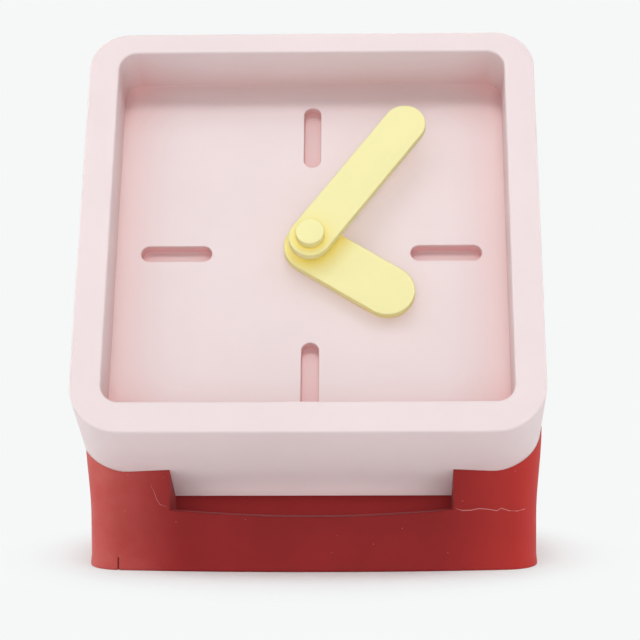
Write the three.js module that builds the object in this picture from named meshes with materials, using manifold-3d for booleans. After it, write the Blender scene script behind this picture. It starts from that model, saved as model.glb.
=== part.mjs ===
// Desk clock: a square case with a deep dial leans back in a slanted seat cut into a rubber stand.
// Behind the dial sits a battery quartz movement, closed in by a rear cover with a battery door.
// Millimetres, +Z up, the face looks towards -Y, and the origin is on the table under the middle.
import * as THREE from "three";
import { mergeVertices } from "three/addons/utils/BufferGeometryUtils.js";
import Module from "manifold-3d";

const wasm = await Module();
wasm.setup();

// Clearances
const FIT = 0.1; // pressed and seated pieces
const RUN = 0.15; // shafts in their holes
const SEAT_GAP = 0.3; // large faces that rest on each other

// Stance
const TILT = 30; // degrees that the face leans back from upright
const FACE_LOW = 32.1; // height of the face's bottom edge above the table

// Case
const CASE_WIDTH = 100;
const CASE_HEIGHT = 98.5;
const CASE_CORNER = 11; // radius of the lower corners
const CASE_CORNER_TOP = 9; // radius of the upper corners
const CASE_WALL = 3.2;
const RIM_SIDE = 6.65; // width of the rim beside the dial
const RIM_TOP = 5.15; // and above it
const RIM_LOW = 7.1; // and below it
const MOUTH_CORNER = 4;
const RECESS = 13.8; // from the rim down to the dial
const DIAL = 3.7; // thickness of the dial
const COVER = 2.3; // thickness of the rear cover
const COVER_WALL = 1.6; // wall left standing round the rear cover
const COVER_GAP = 0.4; // from the movement to the rear cover

// Hour marks: four round-ended grooves in the dial
const MARK_LENGTH = 15.8;
const MARK_WIDTH = 3.8;
const MARK_DEPTH = 2.7;
const MARK_CENTRE = 30; // from the dial's middle to a mark's middle

// Hands
const SHOWN_HOUR = 4;
const SHOWN_MINUTE = 6;
const HOUR_REACH = 20.2; // from the pivot to the middle of the round end
const HOUR_WIDTH = 12;
const HOUR_THICK = 2;
const HOUR_LIFT = 1.5; // from the dial to the hour hand
const MINUTE_REACH = 35.6;
const MINUTE_WIDTH = 9.5;
const MINUTE_THICK = 2.1;
const HAND_GAP = 2.3; // from the hour hand to the minute hand
const CAP_RADIUS = 3.15;
const CAP_HEIGHT = 2.4;
const MINUTE_SHAFT = 1.45; // radius of the shaft that carries the minute hand
const HOUR_PIPE = 2.5; // outer radius of the pipe that carries the hour hand
const BUSH = 4; // outer radius of the bush through the dial
const BUSH_TOP = 0.4; // from the bush to the hour hand

// Screws
const SCREW_HEAD = 2.6; // radius
const SCREW_HEAD_HEIGHT = 1;
const SCREW_SHANK = 1.25; // radius
const SCREW_BITE = 6; // length of thread in a boss
const BOSS = 4; // radius of a screw boss
const COVER_SCREW_INSET = 8.6; // from the case's sides to the cover screws

// Movement housing and battery
const PLATE_FRONT = 0.7;
const PLATE_BACK = 1.2;
const HOUSING_WALL = 1.2;
const HOUSING_CORNER = 2;
const EAR = 4; // radius of the two fixing ears
const EAR_THICK = 2;
const EAR_STAND = 4; // height of the bosses under the ears
const CELL_RADIUS = 7;
const CELL_LENGTH = 49.2;
const CELL_NUB = 1.3;
const CELL_NUB_RADIUS = 2.7;
const CONTACT = 0.4; // thickness of the battery contacts
const CONTACT_SIDE = 9;
const CONTACT_TAB = 2.5; // width of the contacts' tabs
const SPRING_LENGTH = 1.8;
const SPRING_RADIUS = 4;
const SPRING_TIP = 2.6;
const DIVIDER_GAP = 1.7; // from the gears to the battery bay's wall
const TAB_WAY = 1.2; // left beside that wall for the contacts' tabs

// Gears: teeth counts set the ratios, modules set the sizes
const WHEEL = 0.8; // thickness of a wheel
const PINION = 1.2; // length of a pinion
const ARBOR = 0.5; // radius of an arbor
const KNOB_ARBOR = 0.8; // radius of the arbor under the setting knob
const CANNON_STUB = 0.9; // radius of the cannon pinion's rear end, on which the centre wheel slips
const CENTRE_HUB = 2; // radius of the centre wheel's hub
const PIVOT = 0.35; // radius of the seconds wheel's front pivot
const PIVOT_LENGTH = 1;
const ADDENDUM = 0.7; // of the module, as are the next two
const DEDENDUM = 1.3;
const WHEEL_TIP = 0.25; // of the tooth pitch, as are the next two
const PINION_TIP = 0.14;
const PINION_ROOT = 0.5;
const CANNON_TEETH = 12;
const MOTION_TEETH = 36;
const MOTION_PINION_TEETH = 10;
const HOUR_TEETH = 40;
const CENTRE_TEETH = 64;
const THIRD_PINION_TEETH = 8;
const THIRD_TEETH = 60;
const SECONDS_PINION_TEETH = 8;
const SECONDS_TEETH = 32;
const INTERMEDIATE_PINION_TEETH = 8;
const INTERMEDIATE_TEETH = 60;
const ROTOR_TEETH = 8;
const MOTION_MODULE = 0.4;
const CENTRE_MODULE = 0.26;
const SECONDS_MODULE = 0.5;
const ROTOR_MODULE = 0.26;
const MOTION_BEARING = 205; // degrees: where each arbor lies from the one that it meshes with
const THIRD_BEARING = 335;
const INTERMEDIATE_BEARING = 270;
const ROTOR_BEARING = 200;

// Motor and electronics
const MAGNET = 3; // radius of the rotor's magnet
const MAGNET_LENGTH = 2.4;
const AIR_GAP = 0.5;
const STATOR = 1; // thickness of the stator and of the coil's core
const STATOR_EYE = 1.2; // width of the ring round the rotor
const STATOR_BAND = 3.6;
const STATOR_ARM = 4;
const COIL_LENGTH = 24;
const COIL_FLANGE = 3.9; // radius
const COIL_FLANGE_THICK = 0.8;
const COIL_RADIUS = 3.4;
const COIL_TUBE = 2.3;
const COIL_CORE = 3; // width
const COIL_GAP = 0.5; // from the intermediate wheel and from the housing
const POST = 1.3; // radius of the posts inside the housing
const BOARD = 0.8;
const BOARD_STAND = 2.6;
const BOARD_LOW = -12; // lower edge, from the hands' axis
const BOARD_GAP = 3.4; // from the centre wheel
const CHIP_SIDE = 4;
const CHIP_HEIGHT = 1;
const CRYSTAL_RADIUS = 1;
const CRYSTAL_LENGTH = 6;

// Setting knob and battery door
const KNOB = 6.5; // radius
const KNOB_PROUD = 1.2; // beyond the rear cover
const KNOB_BORE = 1.6; // depth of the knob's hole for its arbor
const KNOB_HOLE_GAP = 0.7;
const KNOB_FLUTES = 16;
const KNOB_FLUTE = 0.6; // depth of a flute
const DOOR = 1.4; // thickness
const DOOR_MARGIN = 2; // beyond the battery
const DOOR_GAP = 0.35;
const BARREL = 0.95; // radius of the door's hinge barrel
const DOOR_PIN = 0.55; // radius
const DOOR_PIN_LENGTH = 1.2;

// Stand
const BASE_HALF = 48.3; // half width at the table
const BASE_FLARE = 1; // how much wider each side is at the ears
const BASE_FLARE_LOW = 11; // heights between which it widens
const BASE_FLARE_HIGH = 30;
const BASE_CORNER = 7.7;
const BASE_FRONT = 16.1; // from the face's bottom edge back to the stand's front wall
const BASE_DEPTH = 62;
const BASE_BULGE = 2.4; // how far the front wall swells forward of its corners
const BASE_SHIFT = 0.7; // the case stands this far to the left of the stand's middle
const BASE_SUPPORT = 35; // how far up the case's back the stand reaches
const NOTCH_HALF = 30.5;
const NOTCH_LIP = 13.3; // height of the front lip at the notch's ends
const NOTCH_DIP = 1.4; // how much lower it is in the middle
const NOTCH_WALL = 3; // thickness of the front lip
const NOTCH_FLOOR = 7; // height of the pocket behind the lip
const NOTCH_UNDERCUT = 0.6; // how far the pocket runs behind the case's back edge

// Fineness of curves and reach of cutting tools
const CORNER_STEPS = 8;
const ROUND_STEPS = 24;
const FINE_STEPS = 12;
const BASE_LAYERS = 12;
const PAST = 1; // how far a cutting tool runs past a face
const FAR = 200; // longer than the clock in any direction

const rad = THREE.MathUtils.degToRad;

// Depths behind the face, from the rim to the back
const dialFront = RECESS;
const dialBack = dialFront + DIAL;
const moveFront = dialBack + SEAT_GAP;
const moveBack = moveFront + PLATE_FRONT + SEAT_GAP + 2 * CELL_RADIUS;
const coverFront = moveBack + COVER_GAP;
const caseDepth = coverFront + COVER;
const housingJoint = (moveFront + moveBack) / 2;
const trainFront = moveFront + PLATE_FRONT;
const trainBack = moveBack - PLATE_BACK;
const hourBack = dialFront - HOUR_LIFT;
const hourFront = hourBack - HOUR_THICK;
const minuteBack = hourFront - HAND_GAP;
const minuteFront = minuteBack - MINUTE_THICK;
const TRAIN_LAYERS = 6;
const layer = (index) => trainFront + ((index + 0.5) * (trainBack - trainFront)) / TRAIN_LAYERS;

// Places across the face, seen from the front
const polar = (centre, distance, bearing) => ({
  x: centre.x + distance * Math.cos(rad(bearing)),
  y: centre.y + distance * Math.sin(rad(bearing)),
  bearing,
});
const tipRadius = (teeth, module) => module * (teeth / 2 + ADDENDUM);
const centres = (module, teethA, teethB) => (module * (teethA + teethB)) / 2;
const axis = { x: 0, y: 0 };
const motionDistance = centres(MOTION_MODULE, CANNON_TEETH, MOTION_TEETH);
const thirdDistance = centres(CENTRE_MODULE, CENTRE_TEETH, THIRD_PINION_TEETH);
const intermediateDistance = centres(SECONDS_MODULE, SECONDS_TEETH, INTERMEDIATE_PINION_TEETH);
const rotorDistance = centres(ROTOR_MODULE, INTERMEDIATE_TEETH, ROTOR_TEETH);
const hourModule = (2 * motionDistance) / (HOUR_TEETH + MOTION_PINION_TEETH);
const thirdModule = (2 * thirdDistance) / (THIRD_TEETH + SECONDS_PINION_TEETH);
const motionAt = polar(axis, motionDistance, MOTION_BEARING);
const thirdAt = polar(axis, thirdDistance, THIRD_BEARING);
const intermediateAt = polar(axis, intermediateDistance, INTERMEDIATE_BEARING);
const rotorAt = polar(intermediateAt, rotorDistance, ROTOR_BEARING);

const centreTip = tipRadius(CENTRE_TEETH, CENTRE_MODULE);
const dividerLow = centreTip + DIVIDER_GAP;
const dividerHigh = dividerLow + HOUSING_WALL;
const cellY = dividerHigh + SEAT_GAP + CELL_RADIUS;
const cellDepth = moveBack - CELL_RADIUS;
const bayHalf = (CELL_LENGTH + CELL_NUB + SPRING_LENGTH + 2 * CONTACT + 4 * FIT) / 2;
const coilY =
  intermediateAt.y - tipRadius(INTERMEDIATE_TEETH, ROTOR_MODULE) - COIL_GAP - COIL_FLANGE;
const bay = {
  left: -bayHalf,
  right: bayHalf,
  low: coilY - COIL_FLANGE - COIL_GAP,
  high: cellY + CELL_RADIUS + SEAT_GAP,
};
const earX = bayHalf + HOUSING_WALL + EAR;
const earFront = dialBack + EAR_STAND + SEAT_GAP;
const statorFront = layer(3) - STATOR / 2;
const coreFront = statorFront + STATOR + FIT;
const coilDepth = coreFront + STATOR / 2;
const boardLeft = centreTip + BOARD_GAP;
const boardFront = trainFront + BOARD_STAND;
const stripHigh = dividerLow - FIT;
const stripLow = stripHigh - CONTACT;
const hingeY = dividerHigh - DOOR_MARGIN + BARREL + DOOR_GAP;
const hingeDepth = caseDepth - BARREL - FIT / 2;
const doorHalf = bayHalf + DOOR_MARGIN;
const doorTop = bay.high + DOOR_MARGIN;

// The case's sides, from the hands' axis
const edgeSide = CASE_WIDTH / 2;
const edgeHigh = CASE_HEIGHT / 2;
const edgeLow = -edgeHigh;
const screwX = edgeSide - COVER_SCREW_INSET;
const screwY = edgeHigh - COVER_SCREW_INSET;

// Geometry to solid and back
function solid(geometry) {
  const bare = geometry.clone();
  bare.deleteAttribute("normal");
  bare.deleteAttribute("uv");
  const merged = mergeVertices(bare, 1e-5);
  const vertProperties = merged.attributes.position.array;
  const triVerts = new Uint32Array(merged.index.array);
  return new wasm.Manifold(new wasm.Mesh({ numProp: 3, vertProperties, triVerts }));
}
const join = (...bodies) => bodies.reduce((whole, next) => whole.add(next));
const cut = (body, ...tools) => tools.reduce((left, tool) => left.subtract(tool), body);

function piece(name, body, material) {
  const { vertProperties, triVerts } = body.getMesh();
  const geometry = new THREE.BufferGeometry()
    .setAttribute("position", new THREE.BufferAttribute(new Float32Array(vertProperties), 3))
    .setIndex(new THREE.BufferAttribute(new Uint32Array(triVerts), 1))
    .toNonIndexed();
  geometry.computeVertexNormals();
  const mesh = new THREE.Mesh(geometry, material);
  mesh.name = name;
  return mesh;
}

// Outlines across the face
function rounded(left, low, right, high, corner, topCorner = corner) {
  const shape = new THREE.Shape();
  shape.absarc(right - corner, low + corner, corner, rad(-90), 0);
  shape.absarc(right - topCorner, high - topCorner, topCorner, 0, rad(90));
  shape.absarc(left + topCorner, high - topCorner, topCorner, rad(90), rad(180));
  shape.absarc(left + corner, low + corner, corner, rad(180), rad(270));
  return shape;
}
// The case's outline, moved in from its sides
const caseOutline = (inset) =>
  rounded(
    inset - edgeSide,
    inset + edgeLow,
    edgeSide - inset,
    edgeHigh - inset,
    CASE_CORNER - inset,
    CASE_CORNER_TOP - inset,
  );
const disc = (radius, at = axis) => new THREE.Shape().absarc(at.x, at.y, radius, 0, rad(360));
function rectangle(left, low, right, high) {
  return new THREE.Shape([
    new THREE.Vector2(left, low),
    new THREE.Vector2(right, low),
    new THREE.Vector2(right, high),
    new THREE.Vector2(left, high),
  ]);
}
function bar(reach, width) {
  const shape = new THREE.Shape();
  shape.absarc(0, 0, width / 2, rad(180), rad(360));
  shape.absarc(0, reach, width / 2, 0, rad(180));
  return shape;
}
function gearOutline(teeth, module, turn, tip, root) {
  const step = rad(360) / teeth;
  const outer = module * (teeth / 2 + ADDENDUM);
  const inner = module * (teeth / 2 - DEDENDUM);
  const points = [];
  const add = (radius, angle) =>
    points.push(new THREE.Vector2(radius * Math.cos(angle), radius * Math.sin(angle)));
  for (let tooth = 0; tooth < teeth; tooth++) {
    const middle = turn + tooth * step;
    add(inner, middle - (step * root) / 2);
    add(outer, middle - (step * tip) / 2);
    add(outer, middle + (step * tip) / 2);
    if (root < 1) add(inner, middle + (step * root) / 2);
  }
  return new THREE.Shape(points);
}

// A solid of an outline, from one depth behind the face to another
function slabGeometry(outline, near, far, steps = ROUND_STEPS, at = axis) {
  const settings = { depth: far - near, bevelEnabled: false, curveSegments: steps };
  return new THREE.ExtrudeGeometry(outline, settings).translate(at.x, at.y, -far);
}
const slab = (...args) => solid(slabGeometry(...args));

// A round rod, or a cone, lying along the face from left to right
function rod(radius, left, right, y, depth, endRadius = radius) {
  const round = new THREE.CylinderGeometry(endRadius, radius, right - left, FINE_STEPS);
  return solid(round.rotateZ(rad(-90)).translate((left + right) / 2, y, -depth));
}

// Gears. A pinion's first tooth points right, and a wheel is turned so that a gap meets its pinion's tooth.
function wheel(teeth, module, depth, at, pinionBearing, pinionTeeth) {
  const towards = rad(pinionBearing) + Math.PI;
  const turn = rad(pinionBearing) + (Math.PI + pinionTeeth * towards) / teeth;
  const outline = gearOutline(teeth, module, turn, WHEEL_TIP, 1);
  return slab(outline, depth - WHEEL / 2, depth + WHEEL / 2, 1, at);
}
function pinion(teeth, module, depth, at) {
  const outline = gearOutline(teeth, module, 0, PINION_TIP, PINION_ROOT);
  return slab(outline, depth - PINION / 2, depth + PINION / 2, 1, at);
}
const pin = (radius, at, near, far) => slab(disc(radius), near, far, FINE_STEPS, at);
const pivotFront = moveFront + SEAT_GAP;
const pivotBack = moveBack - SEAT_GAP;

// Case
const corners = [
  { x: screwX, y: screwY },
  { x: -screwX, y: screwY },
  { x: -screwX, y: -screwY },
  { x: screwX, y: -screwY },
];
const ears = [
  { x: -earX, y: 0 },
  { x: earX, y: 0 },
];
const coverSeat = coverFront - SEAT_GAP;
const coverHead = caseDepth - FIT - SCREW_HEAD_HEIGHT;
const earHead = earFront + EAR_THICK + FIT;
const earTip = dialBack + SEAT_GAP;

function frontCase() {
  const mouth = rounded(
    RIM_SIDE - edgeSide,
    RIM_LOW + edgeLow,
    edgeSide - RIM_SIDE,
    edgeHigh - RIM_TOP,
    MOUTH_CORNER,
  );
  const shell = cut(
    slab(caseOutline(0), 0, caseDepth, CORNER_STEPS),
    slab(mouth, -PAST, dialFront, CORNER_STEPS),
    slab(caseOutline(CASE_WALL), dialBack, caseDepth + PAST, CORNER_STEPS),
    slab(caseOutline(COVER_WALL), coverSeat, caseDepth + PAST, CORNER_STEPS),
    slab(disc(BUSH + FIT), -PAST, dialBack + PAST),
  );
  const markStraight = MARK_LENGTH - MARK_WIDTH;
  const markGeometry = (turn) =>
    slabGeometry(bar(markStraight, MARK_WIDTH), dialFront - PAST, dialFront + MARK_DEPTH, CORNER_STEPS)
      .translate(0, MARK_CENTRE - markStraight / 2, 0)
      .rotateZ(rad(turn));
  const marks = [0, 90, 180, 270].map((turn) => solid(markGeometry(turn)));
  const bosses = [
    ...corners.map((at) => pin(BOSS, at, dialBack - FIT, coverSeat)),
    ...ears.map((at) => pin(BOSS, at, dialBack - FIT, dialBack + EAR_STAND)),
  ];
  const pilots = [
    ...corners.map((at) => pin(SCREW_SHANK + RUN, at, coverSeat - SCREW_BITE - PAST, coverSeat + PAST)),
    ...ears.map((at) => pin(SCREW_SHANK + RUN, at, dialBack, dialBack + EAR_STAND + PAST)),
  ];
  return cut(join(cut(shell, ...marks), ...bosses), ...pilots);
}

function rearCover() {
  const doorway = rectangle(
    -doorHalf - DOOR_GAP,
    hingeY - BARREL - DOOR_GAP,
    doorHalf + DOOR_GAP,
    doorTop + DOOR_GAP,
  );
  const pinReach = doorHalf + DOOR_PIN_LENGTH + DOOR_GAP;
  return cut(
    slab(caseOutline(COVER_WALL + SEAT_GAP), coverFront, caseDepth, CORNER_STEPS),
    slab(doorway, coverFront - PAST, caseDepth + PAST),
    slab(disc(KNOB + KNOB_HOLE_GAP, motionAt), coverFront - PAST, caseDepth + PAST),
    rod(DOOR_PIN + RUN, -pinReach, pinReach, hingeY, hingeDepth),
    ...corners.map((at) => pin(SCREW_SHANK + RUN, at, coverFront - PAST, caseDepth + PAST)),
    ...corners.map((at) => pin(SCREW_HEAD + RUN, at, coverHead - FIT, caseDepth + PAST)),
  );
}

function batteryDoor() {
  const pinReach = doorHalf + DOOR_PIN_LENGTH;
  return join(
    slab(rectangle(-doorHalf, hingeY, doorHalf, doorTop), caseDepth - DOOR, caseDepth),
    rod(BARREL, -doorHalf, doorHalf, hingeY, hingeDepth),
    rod(DOOR_PIN, -pinReach, pinReach, hingeY, hingeDepth),
  );
}

const screw = (at, headFront, tip) =>
  join(
    pin(SCREW_HEAD, at, headFront, headFront + SCREW_HEAD_HEIGHT),
    pin(SCREW_SHANK, at, tip, headFront + FIT),
  );

// Hands, their shafts and the knob that sets them
const roundHole = (radius, near, far) => slab(disc(radius), near - PAST, far + PAST);
const cannonStubBack = layer(2) + WHEEL / 2 + SEAT_GAP;
const knobFront = coverFront;
const knobBack = caseDepth + KNOB_PROUD;

const hourHand = () =>
  cut(
    slab(bar(HOUR_REACH, HOUR_WIDTH), hourFront, hourBack),
    roundHole(HOUR_PIPE + FIT, hourFront, hourBack),
  );
const minuteHand = () =>
  cut(
    slab(bar(MINUTE_REACH, MINUTE_WIDTH), minuteFront, minuteBack),
    roundHole(MINUTE_SHAFT + FIT, minuteFront, minuteBack),
  );
const handCap = () => slab(disc(CAP_RADIUS), minuteFront - FIT - CAP_HEIGHT, minuteFront - FIT);
const handBush = () =>
  cut(
    slab(disc(BUSH), hourBack + BUSH_TOP, trainFront),
    roundHole(HOUR_PIPE + RUN, hourBack, trainFront),
  );
const cannonPinion = () =>
  cut(
    join(
      slab(disc(MINUTE_SHAFT), minuteFront, layer(1)),
      pinion(CANNON_TEETH, MOTION_MODULE, layer(1), axis),
      pin(CANNON_STUB, axis, layer(1), cannonStubBack),
    ),
    pin(PIVOT + RUN, axis, cannonStubBack - PIVOT_LENGTH, cannonStubBack + PAST),
  );
const hourWheel = () =>
  cut(
    join(
      wheel(HOUR_TEETH, hourModule, layer(0), axis, MOTION_BEARING, MOTION_PINION_TEETH),
      slab(disc(HOUR_PIPE), hourFront, layer(0)),
    ),
    roundHole(MINUTE_SHAFT + RUN, hourFront, layer(0)),
  );
const motionWheel = () =>
  join(
    wheel(MOTION_TEETH, MOTION_MODULE, layer(1), motionAt, MOTION_BEARING + 180, CANNON_TEETH),
    pinion(MOTION_PINION_TEETH, hourModule, layer(0), motionAt),
    pin(KNOB_ARBOR, motionAt, pivotFront, knobFront + KNOB_BORE - FIT),
  );
function settingKnob() {
  const points = [];
  for (let side = 0; side < 2 * KNOB_FLUTES; side++) {
    const radius = side % 2 ? KNOB - KNOB_FLUTE : KNOB;
    const angle = (side * Math.PI) / KNOB_FLUTES;
    points.push(new THREE.Vector2(radius * Math.cos(angle), radius * Math.sin(angle)));
  }
  return cut(
    slab(new THREE.Shape(points), knobFront, knobBack, 1, motionAt),
    pin(KNOB_ARBOR + FIT, motionAt, knobFront - PAST, knobFront + KNOB_BORE),
  );
}

// Going train
const centreWheel = () =>
  cut(
    join(
      wheel(CENTRE_TEETH, CENTRE_MODULE, layer(2), axis, THIRD_BEARING, THIRD_PINION_TEETH),
      pin(CENTRE_HUB, axis, layer(2) - PINION / 2, layer(2) + WHEEL / 2),
    ),
    pin(CANNON_STUB + RUN, axis, layer(1), layer(3)),
  );
const secondsWheel = () =>
  join(
    wheel(SECONDS_TEETH, SECONDS_MODULE, layer(4), axis, INTERMEDIATE_BEARING, INTERMEDIATE_PINION_TEETH),
    pinion(SECONDS_PINION_TEETH, thirdModule, layer(3), axis),
    pin(ARBOR, axis, cannonStubBack + RUN, pivotBack),
    pin(PIVOT, axis, cannonStubBack - PIVOT_LENGTH + RUN, layer(3)),
  );
const thirdWheel = () =>
  join(
    wheel(THIRD_TEETH, thirdModule, layer(3), thirdAt, THIRD_BEARING + 180, SECONDS_PINION_TEETH),
    pinion(THIRD_PINION_TEETH, CENTRE_MODULE, layer(2), thirdAt),
    pin(ARBOR, thirdAt, pivotFront, pivotBack),
  );
const intermediateWheel = () =>
  join(
    wheel(INTERMEDIATE_TEETH, ROTOR_MODULE, layer(5), intermediateAt, ROTOR_BEARING, ROTOR_TEETH),
    pinion(INTERMEDIATE_PINION_TEETH, SECONDS_MODULE, layer(4), intermediateAt),
    pin(ARBOR, intermediateAt, pivotFront, pivotBack),
  );
const rotor = () =>
  join(
    pinion(ROTOR_TEETH, ROTOR_MODULE, layer(5), rotorAt),
    pin(MAGNET, rotorAt, layer(3) - MAGNET_LENGTH / 2, layer(3) + MAGNET_LENGTH / 2),
    pin(ARBOR, rotorAt, pivotFront, pivotBack),
  );

// Motor and electronics
const bandLow = coilY + COIL_FLANGE + COIL_GAP;
const bandHigh = bandLow + STATOR_BAND;
const armIn = COIL_LENGTH / 2 + COIL_GAP;
const armOut = armIn + STATOR_ARM;
const coreLow = coilY - COIL_CORE / 2;
const coreHigh = coilY + COIL_CORE / 2;
const boardRight = bay.right - CONTACT - 3 * FIT;
const boardHigh = stripLow - FIT;
const boardMiddle = (boardLeft + boardRight) / 2;
const boardBack = boardFront + BOARD;

function stator() {
  const back = statorFront + STATOR;
  const plate = join(
    pin(MAGNET + AIR_GAP + STATOR_EYE, rotorAt, statorFront, back),
    slab(rectangle(-armOut, bandLow, armOut, bandHigh), statorFront, back),
    slab(rectangle(-armOut, coreLow, -armIn, bandHigh), statorFront, back),
    slab(rectangle(armIn, coreLow, armOut, bandHigh), statorFront, back),
  );
  return cut(plate, pin(MAGNET + AIR_GAP, rotorAt, statorFront - PAST, back + PAST));
}
const coilCore = () =>
  slab(rectangle(-armOut, coreLow, armOut, coreHigh), coreFront, coreFront + STATOR);
function coilBobbin() {
  const end = COIL_LENGTH / 2;
  const bore = rectangle(-armOut, coreLow - RUN, armOut, coreHigh + RUN);
  return cut(
    join(
      rod(COIL_TUBE, -end, end, coilY, coilDepth),
      rod(COIL_FLANGE, -end, -end + COIL_FLANGE_THICK, coilY, coilDepth),
      rod(COIL_FLANGE, end - COIL_FLANGE_THICK, end, coilY, coilDepth),
    ),
    slab(bore, coreFront - RUN, coreFront + STATOR + RUN),
  );
}
function coilWinding() {
  const end = COIL_LENGTH / 2 - COIL_FLANGE_THICK - FIT;
  return cut(
    rod(COIL_RADIUS, -end, end, coilY, coilDepth),
    rod(COIL_TUBE + FIT, -end - PAST, end + PAST, coilY, coilDepth),
  );
}
const circuitBoard = () =>
  slab(rectangle(boardLeft, BOARD_LOW, boardRight, boardHigh), boardFront, boardBack);
const chip = () =>
  slab(
    rectangle(boardMiddle - CHIP_SIDE / 2, -CHIP_SIDE / 2, boardMiddle + CHIP_SIDE / 2, CHIP_SIDE / 2),
    boardBack + FIT,
    boardBack + FIT + CHIP_HEIGHT,
  );
const quartzCrystal = () =>
  rod(
    CRYSTAL_RADIUS,
    boardMiddle - CRYSTAL_LENGTH / 2,
    boardMiddle + CRYSTAL_LENGTH / 2,
    BOARD_LOW / 2,
    boardBack + FIT + CRYSTAL_RADIUS,
  );

// Movement housing
const housing = rounded(
  bay.left - HOUSING_WALL,
  bay.low - HOUSING_WALL,
  bay.right + HOUSING_WALL,
  bay.high + HOUSING_WALL,
  HOUSING_CORNER,
);
const inside = rectangle(bay.left, bay.low, bay.right, bay.high);
const divider = rectangle(bay.left + TAB_WAY, dividerLow, bay.right - TAB_WAY, dividerHigh);
const frontRim = housingJoint - SEAT_GAP / 2;
const backRim = housingJoint + SEAT_GAP / 2;
const arborHoles = [thirdAt, intermediateAt, rotorAt].map((at) => ({ at, radius: ARBOR + RUN }));
arborHoles.push({ at: motionAt, radius: KNOB_ARBOR + RUN });

function movementFront() {
  const armMiddle = (armIn + armOut) / 2;
  const bandMiddle = (bandLow + bandHigh) / 2;
  const posts = [
    pin(POST, { x: -armMiddle, y: bandMiddle }, trainFront - FIT, statorFront - FIT),
    pin(POST, { x: armMiddle, y: bandMiddle }, trainFront - FIT, statorFront - FIT),
    pin(POST, { x: boardLeft + POST, y: BOARD_LOW + POST }, trainFront - FIT, boardFront - FIT),
    pin(POST, { x: boardRight - POST, y: boardHigh - POST }, trainFront - FIT, boardFront - FIT),
  ];
  const earBack = earFront + EAR_THICK;
  const neck = bayHalf + HOUSING_WALL / 2;
  const tabs = [
    ...ears.map((at) => pin(EAR, at, earFront, earBack)),
    slab(rectangle(-earX, -EAR, -neck, EAR), earFront, earBack),
    slab(rectangle(neck, -EAR, earX, EAR), earFront, earBack),
  ];
  const tray = cut(
    join(slab(housing, moveFront, frontRim, CORNER_STEPS), ...tabs),
    slab(inside, trainFront, frontRim + PAST),
  );
  return cut(
    join(tray, slab(divider, trainFront - FIT, frontRim), ...posts),
    roundHole(BUSH + FIT, moveFront, trainFront),
    ...arborHoles.map(({ at, radius }) => pin(radius, at, moveFront - PAST, trainFront + FIT)),
    ...ears.map((at) => pin(SCREW_SHANK + RUN, at, earFront - PAST, earBack + PAST)),
  );
}

function movementBack() {
  const window = rectangle(bay.left, dividerHigh, bay.right, bay.high);
  const tray = cut(
    slab(housing, backRim, moveBack, CORNER_STEPS),
    slab(inside, backRim - PAST, trainBack),
    slab(window, trainBack - PAST, moveBack + PAST),
  );
  return cut(
    join(tray, slab(divider, backRim, trainBack + FIT)),
    pin(ARBOR + RUN, axis, trainBack - PAST, moveBack + PAST),
    ...arborHoles.map(({ at, radius }) => pin(radius, at, trainBack - PAST, moveBack + PAST)),
  );
}

// Battery and its contacts
const nubTip = bay.right - CONTACT - 2 * FIT;
const cellRight = nubTip - CELL_NUB;
const cellLeft = cellRight - CELL_LENGTH;
const tabNear = cellDepth - CONTACT_SIDE / 2;
const contactPlate = (left) =>
  join(
    slab(
      rectangle(left, cellY - CONTACT_SIDE / 2, left + CONTACT, cellY + CONTACT_SIDE / 2),
      tabNear,
      tabNear + CONTACT_SIDE,
    ),
    slab(rectangle(left, stripLow, left + CONTACT, cellY), tabNear, tabNear + CONTACT_TAB),
  );
const battery = () =>
  join(
    rod(CELL_RADIUS, cellLeft, cellRight, cellY, cellDepth),
    rod(CELL_NUB_RADIUS, cellRight - FIT, nubTip, cellY, cellDepth),
  );
const contactPlus = () => contactPlate(bay.right - FIT - CONTACT);
function contactMinus() {
  const left = bay.left + FIT;
  return join(
    contactPlate(left),
    rod(SPRING_RADIUS, left + CONTACT - FIT, cellLeft - FIT, cellY, cellDepth, SPRING_TIP),
    slab(
      rectangle(left, stripLow, boardLeft + CONTACT_TAB, stripHigh),
      tabNear,
      tabNear + CONTACT_TAB,
    ),
  );
}

// Where the case stands in the stand's frame, whose y starts at the face's bottom edge
const sinTilt = Math.sin(rad(TILT));
const cosTilt = Math.cos(rad(TILT));
const caseTurn = rad(90 - TILT);
const caseY = edgeHigh * sinTilt;
const caseZ = FACE_LOW + edgeHigh * cosTilt;
const caseMatrix = new THREE.Matrix4().makeRotationX(caseTurn).setPosition(0, caseY, caseZ);
const backEdgeY = caseDepth * cosTilt;
const supportTop = FACE_LOW - caseDepth * sinTilt + BASE_SUPPORT * cosTilt;
const overallDepth = CASE_HEIGHT * sinTilt + caseDepth * cosTilt;

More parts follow.
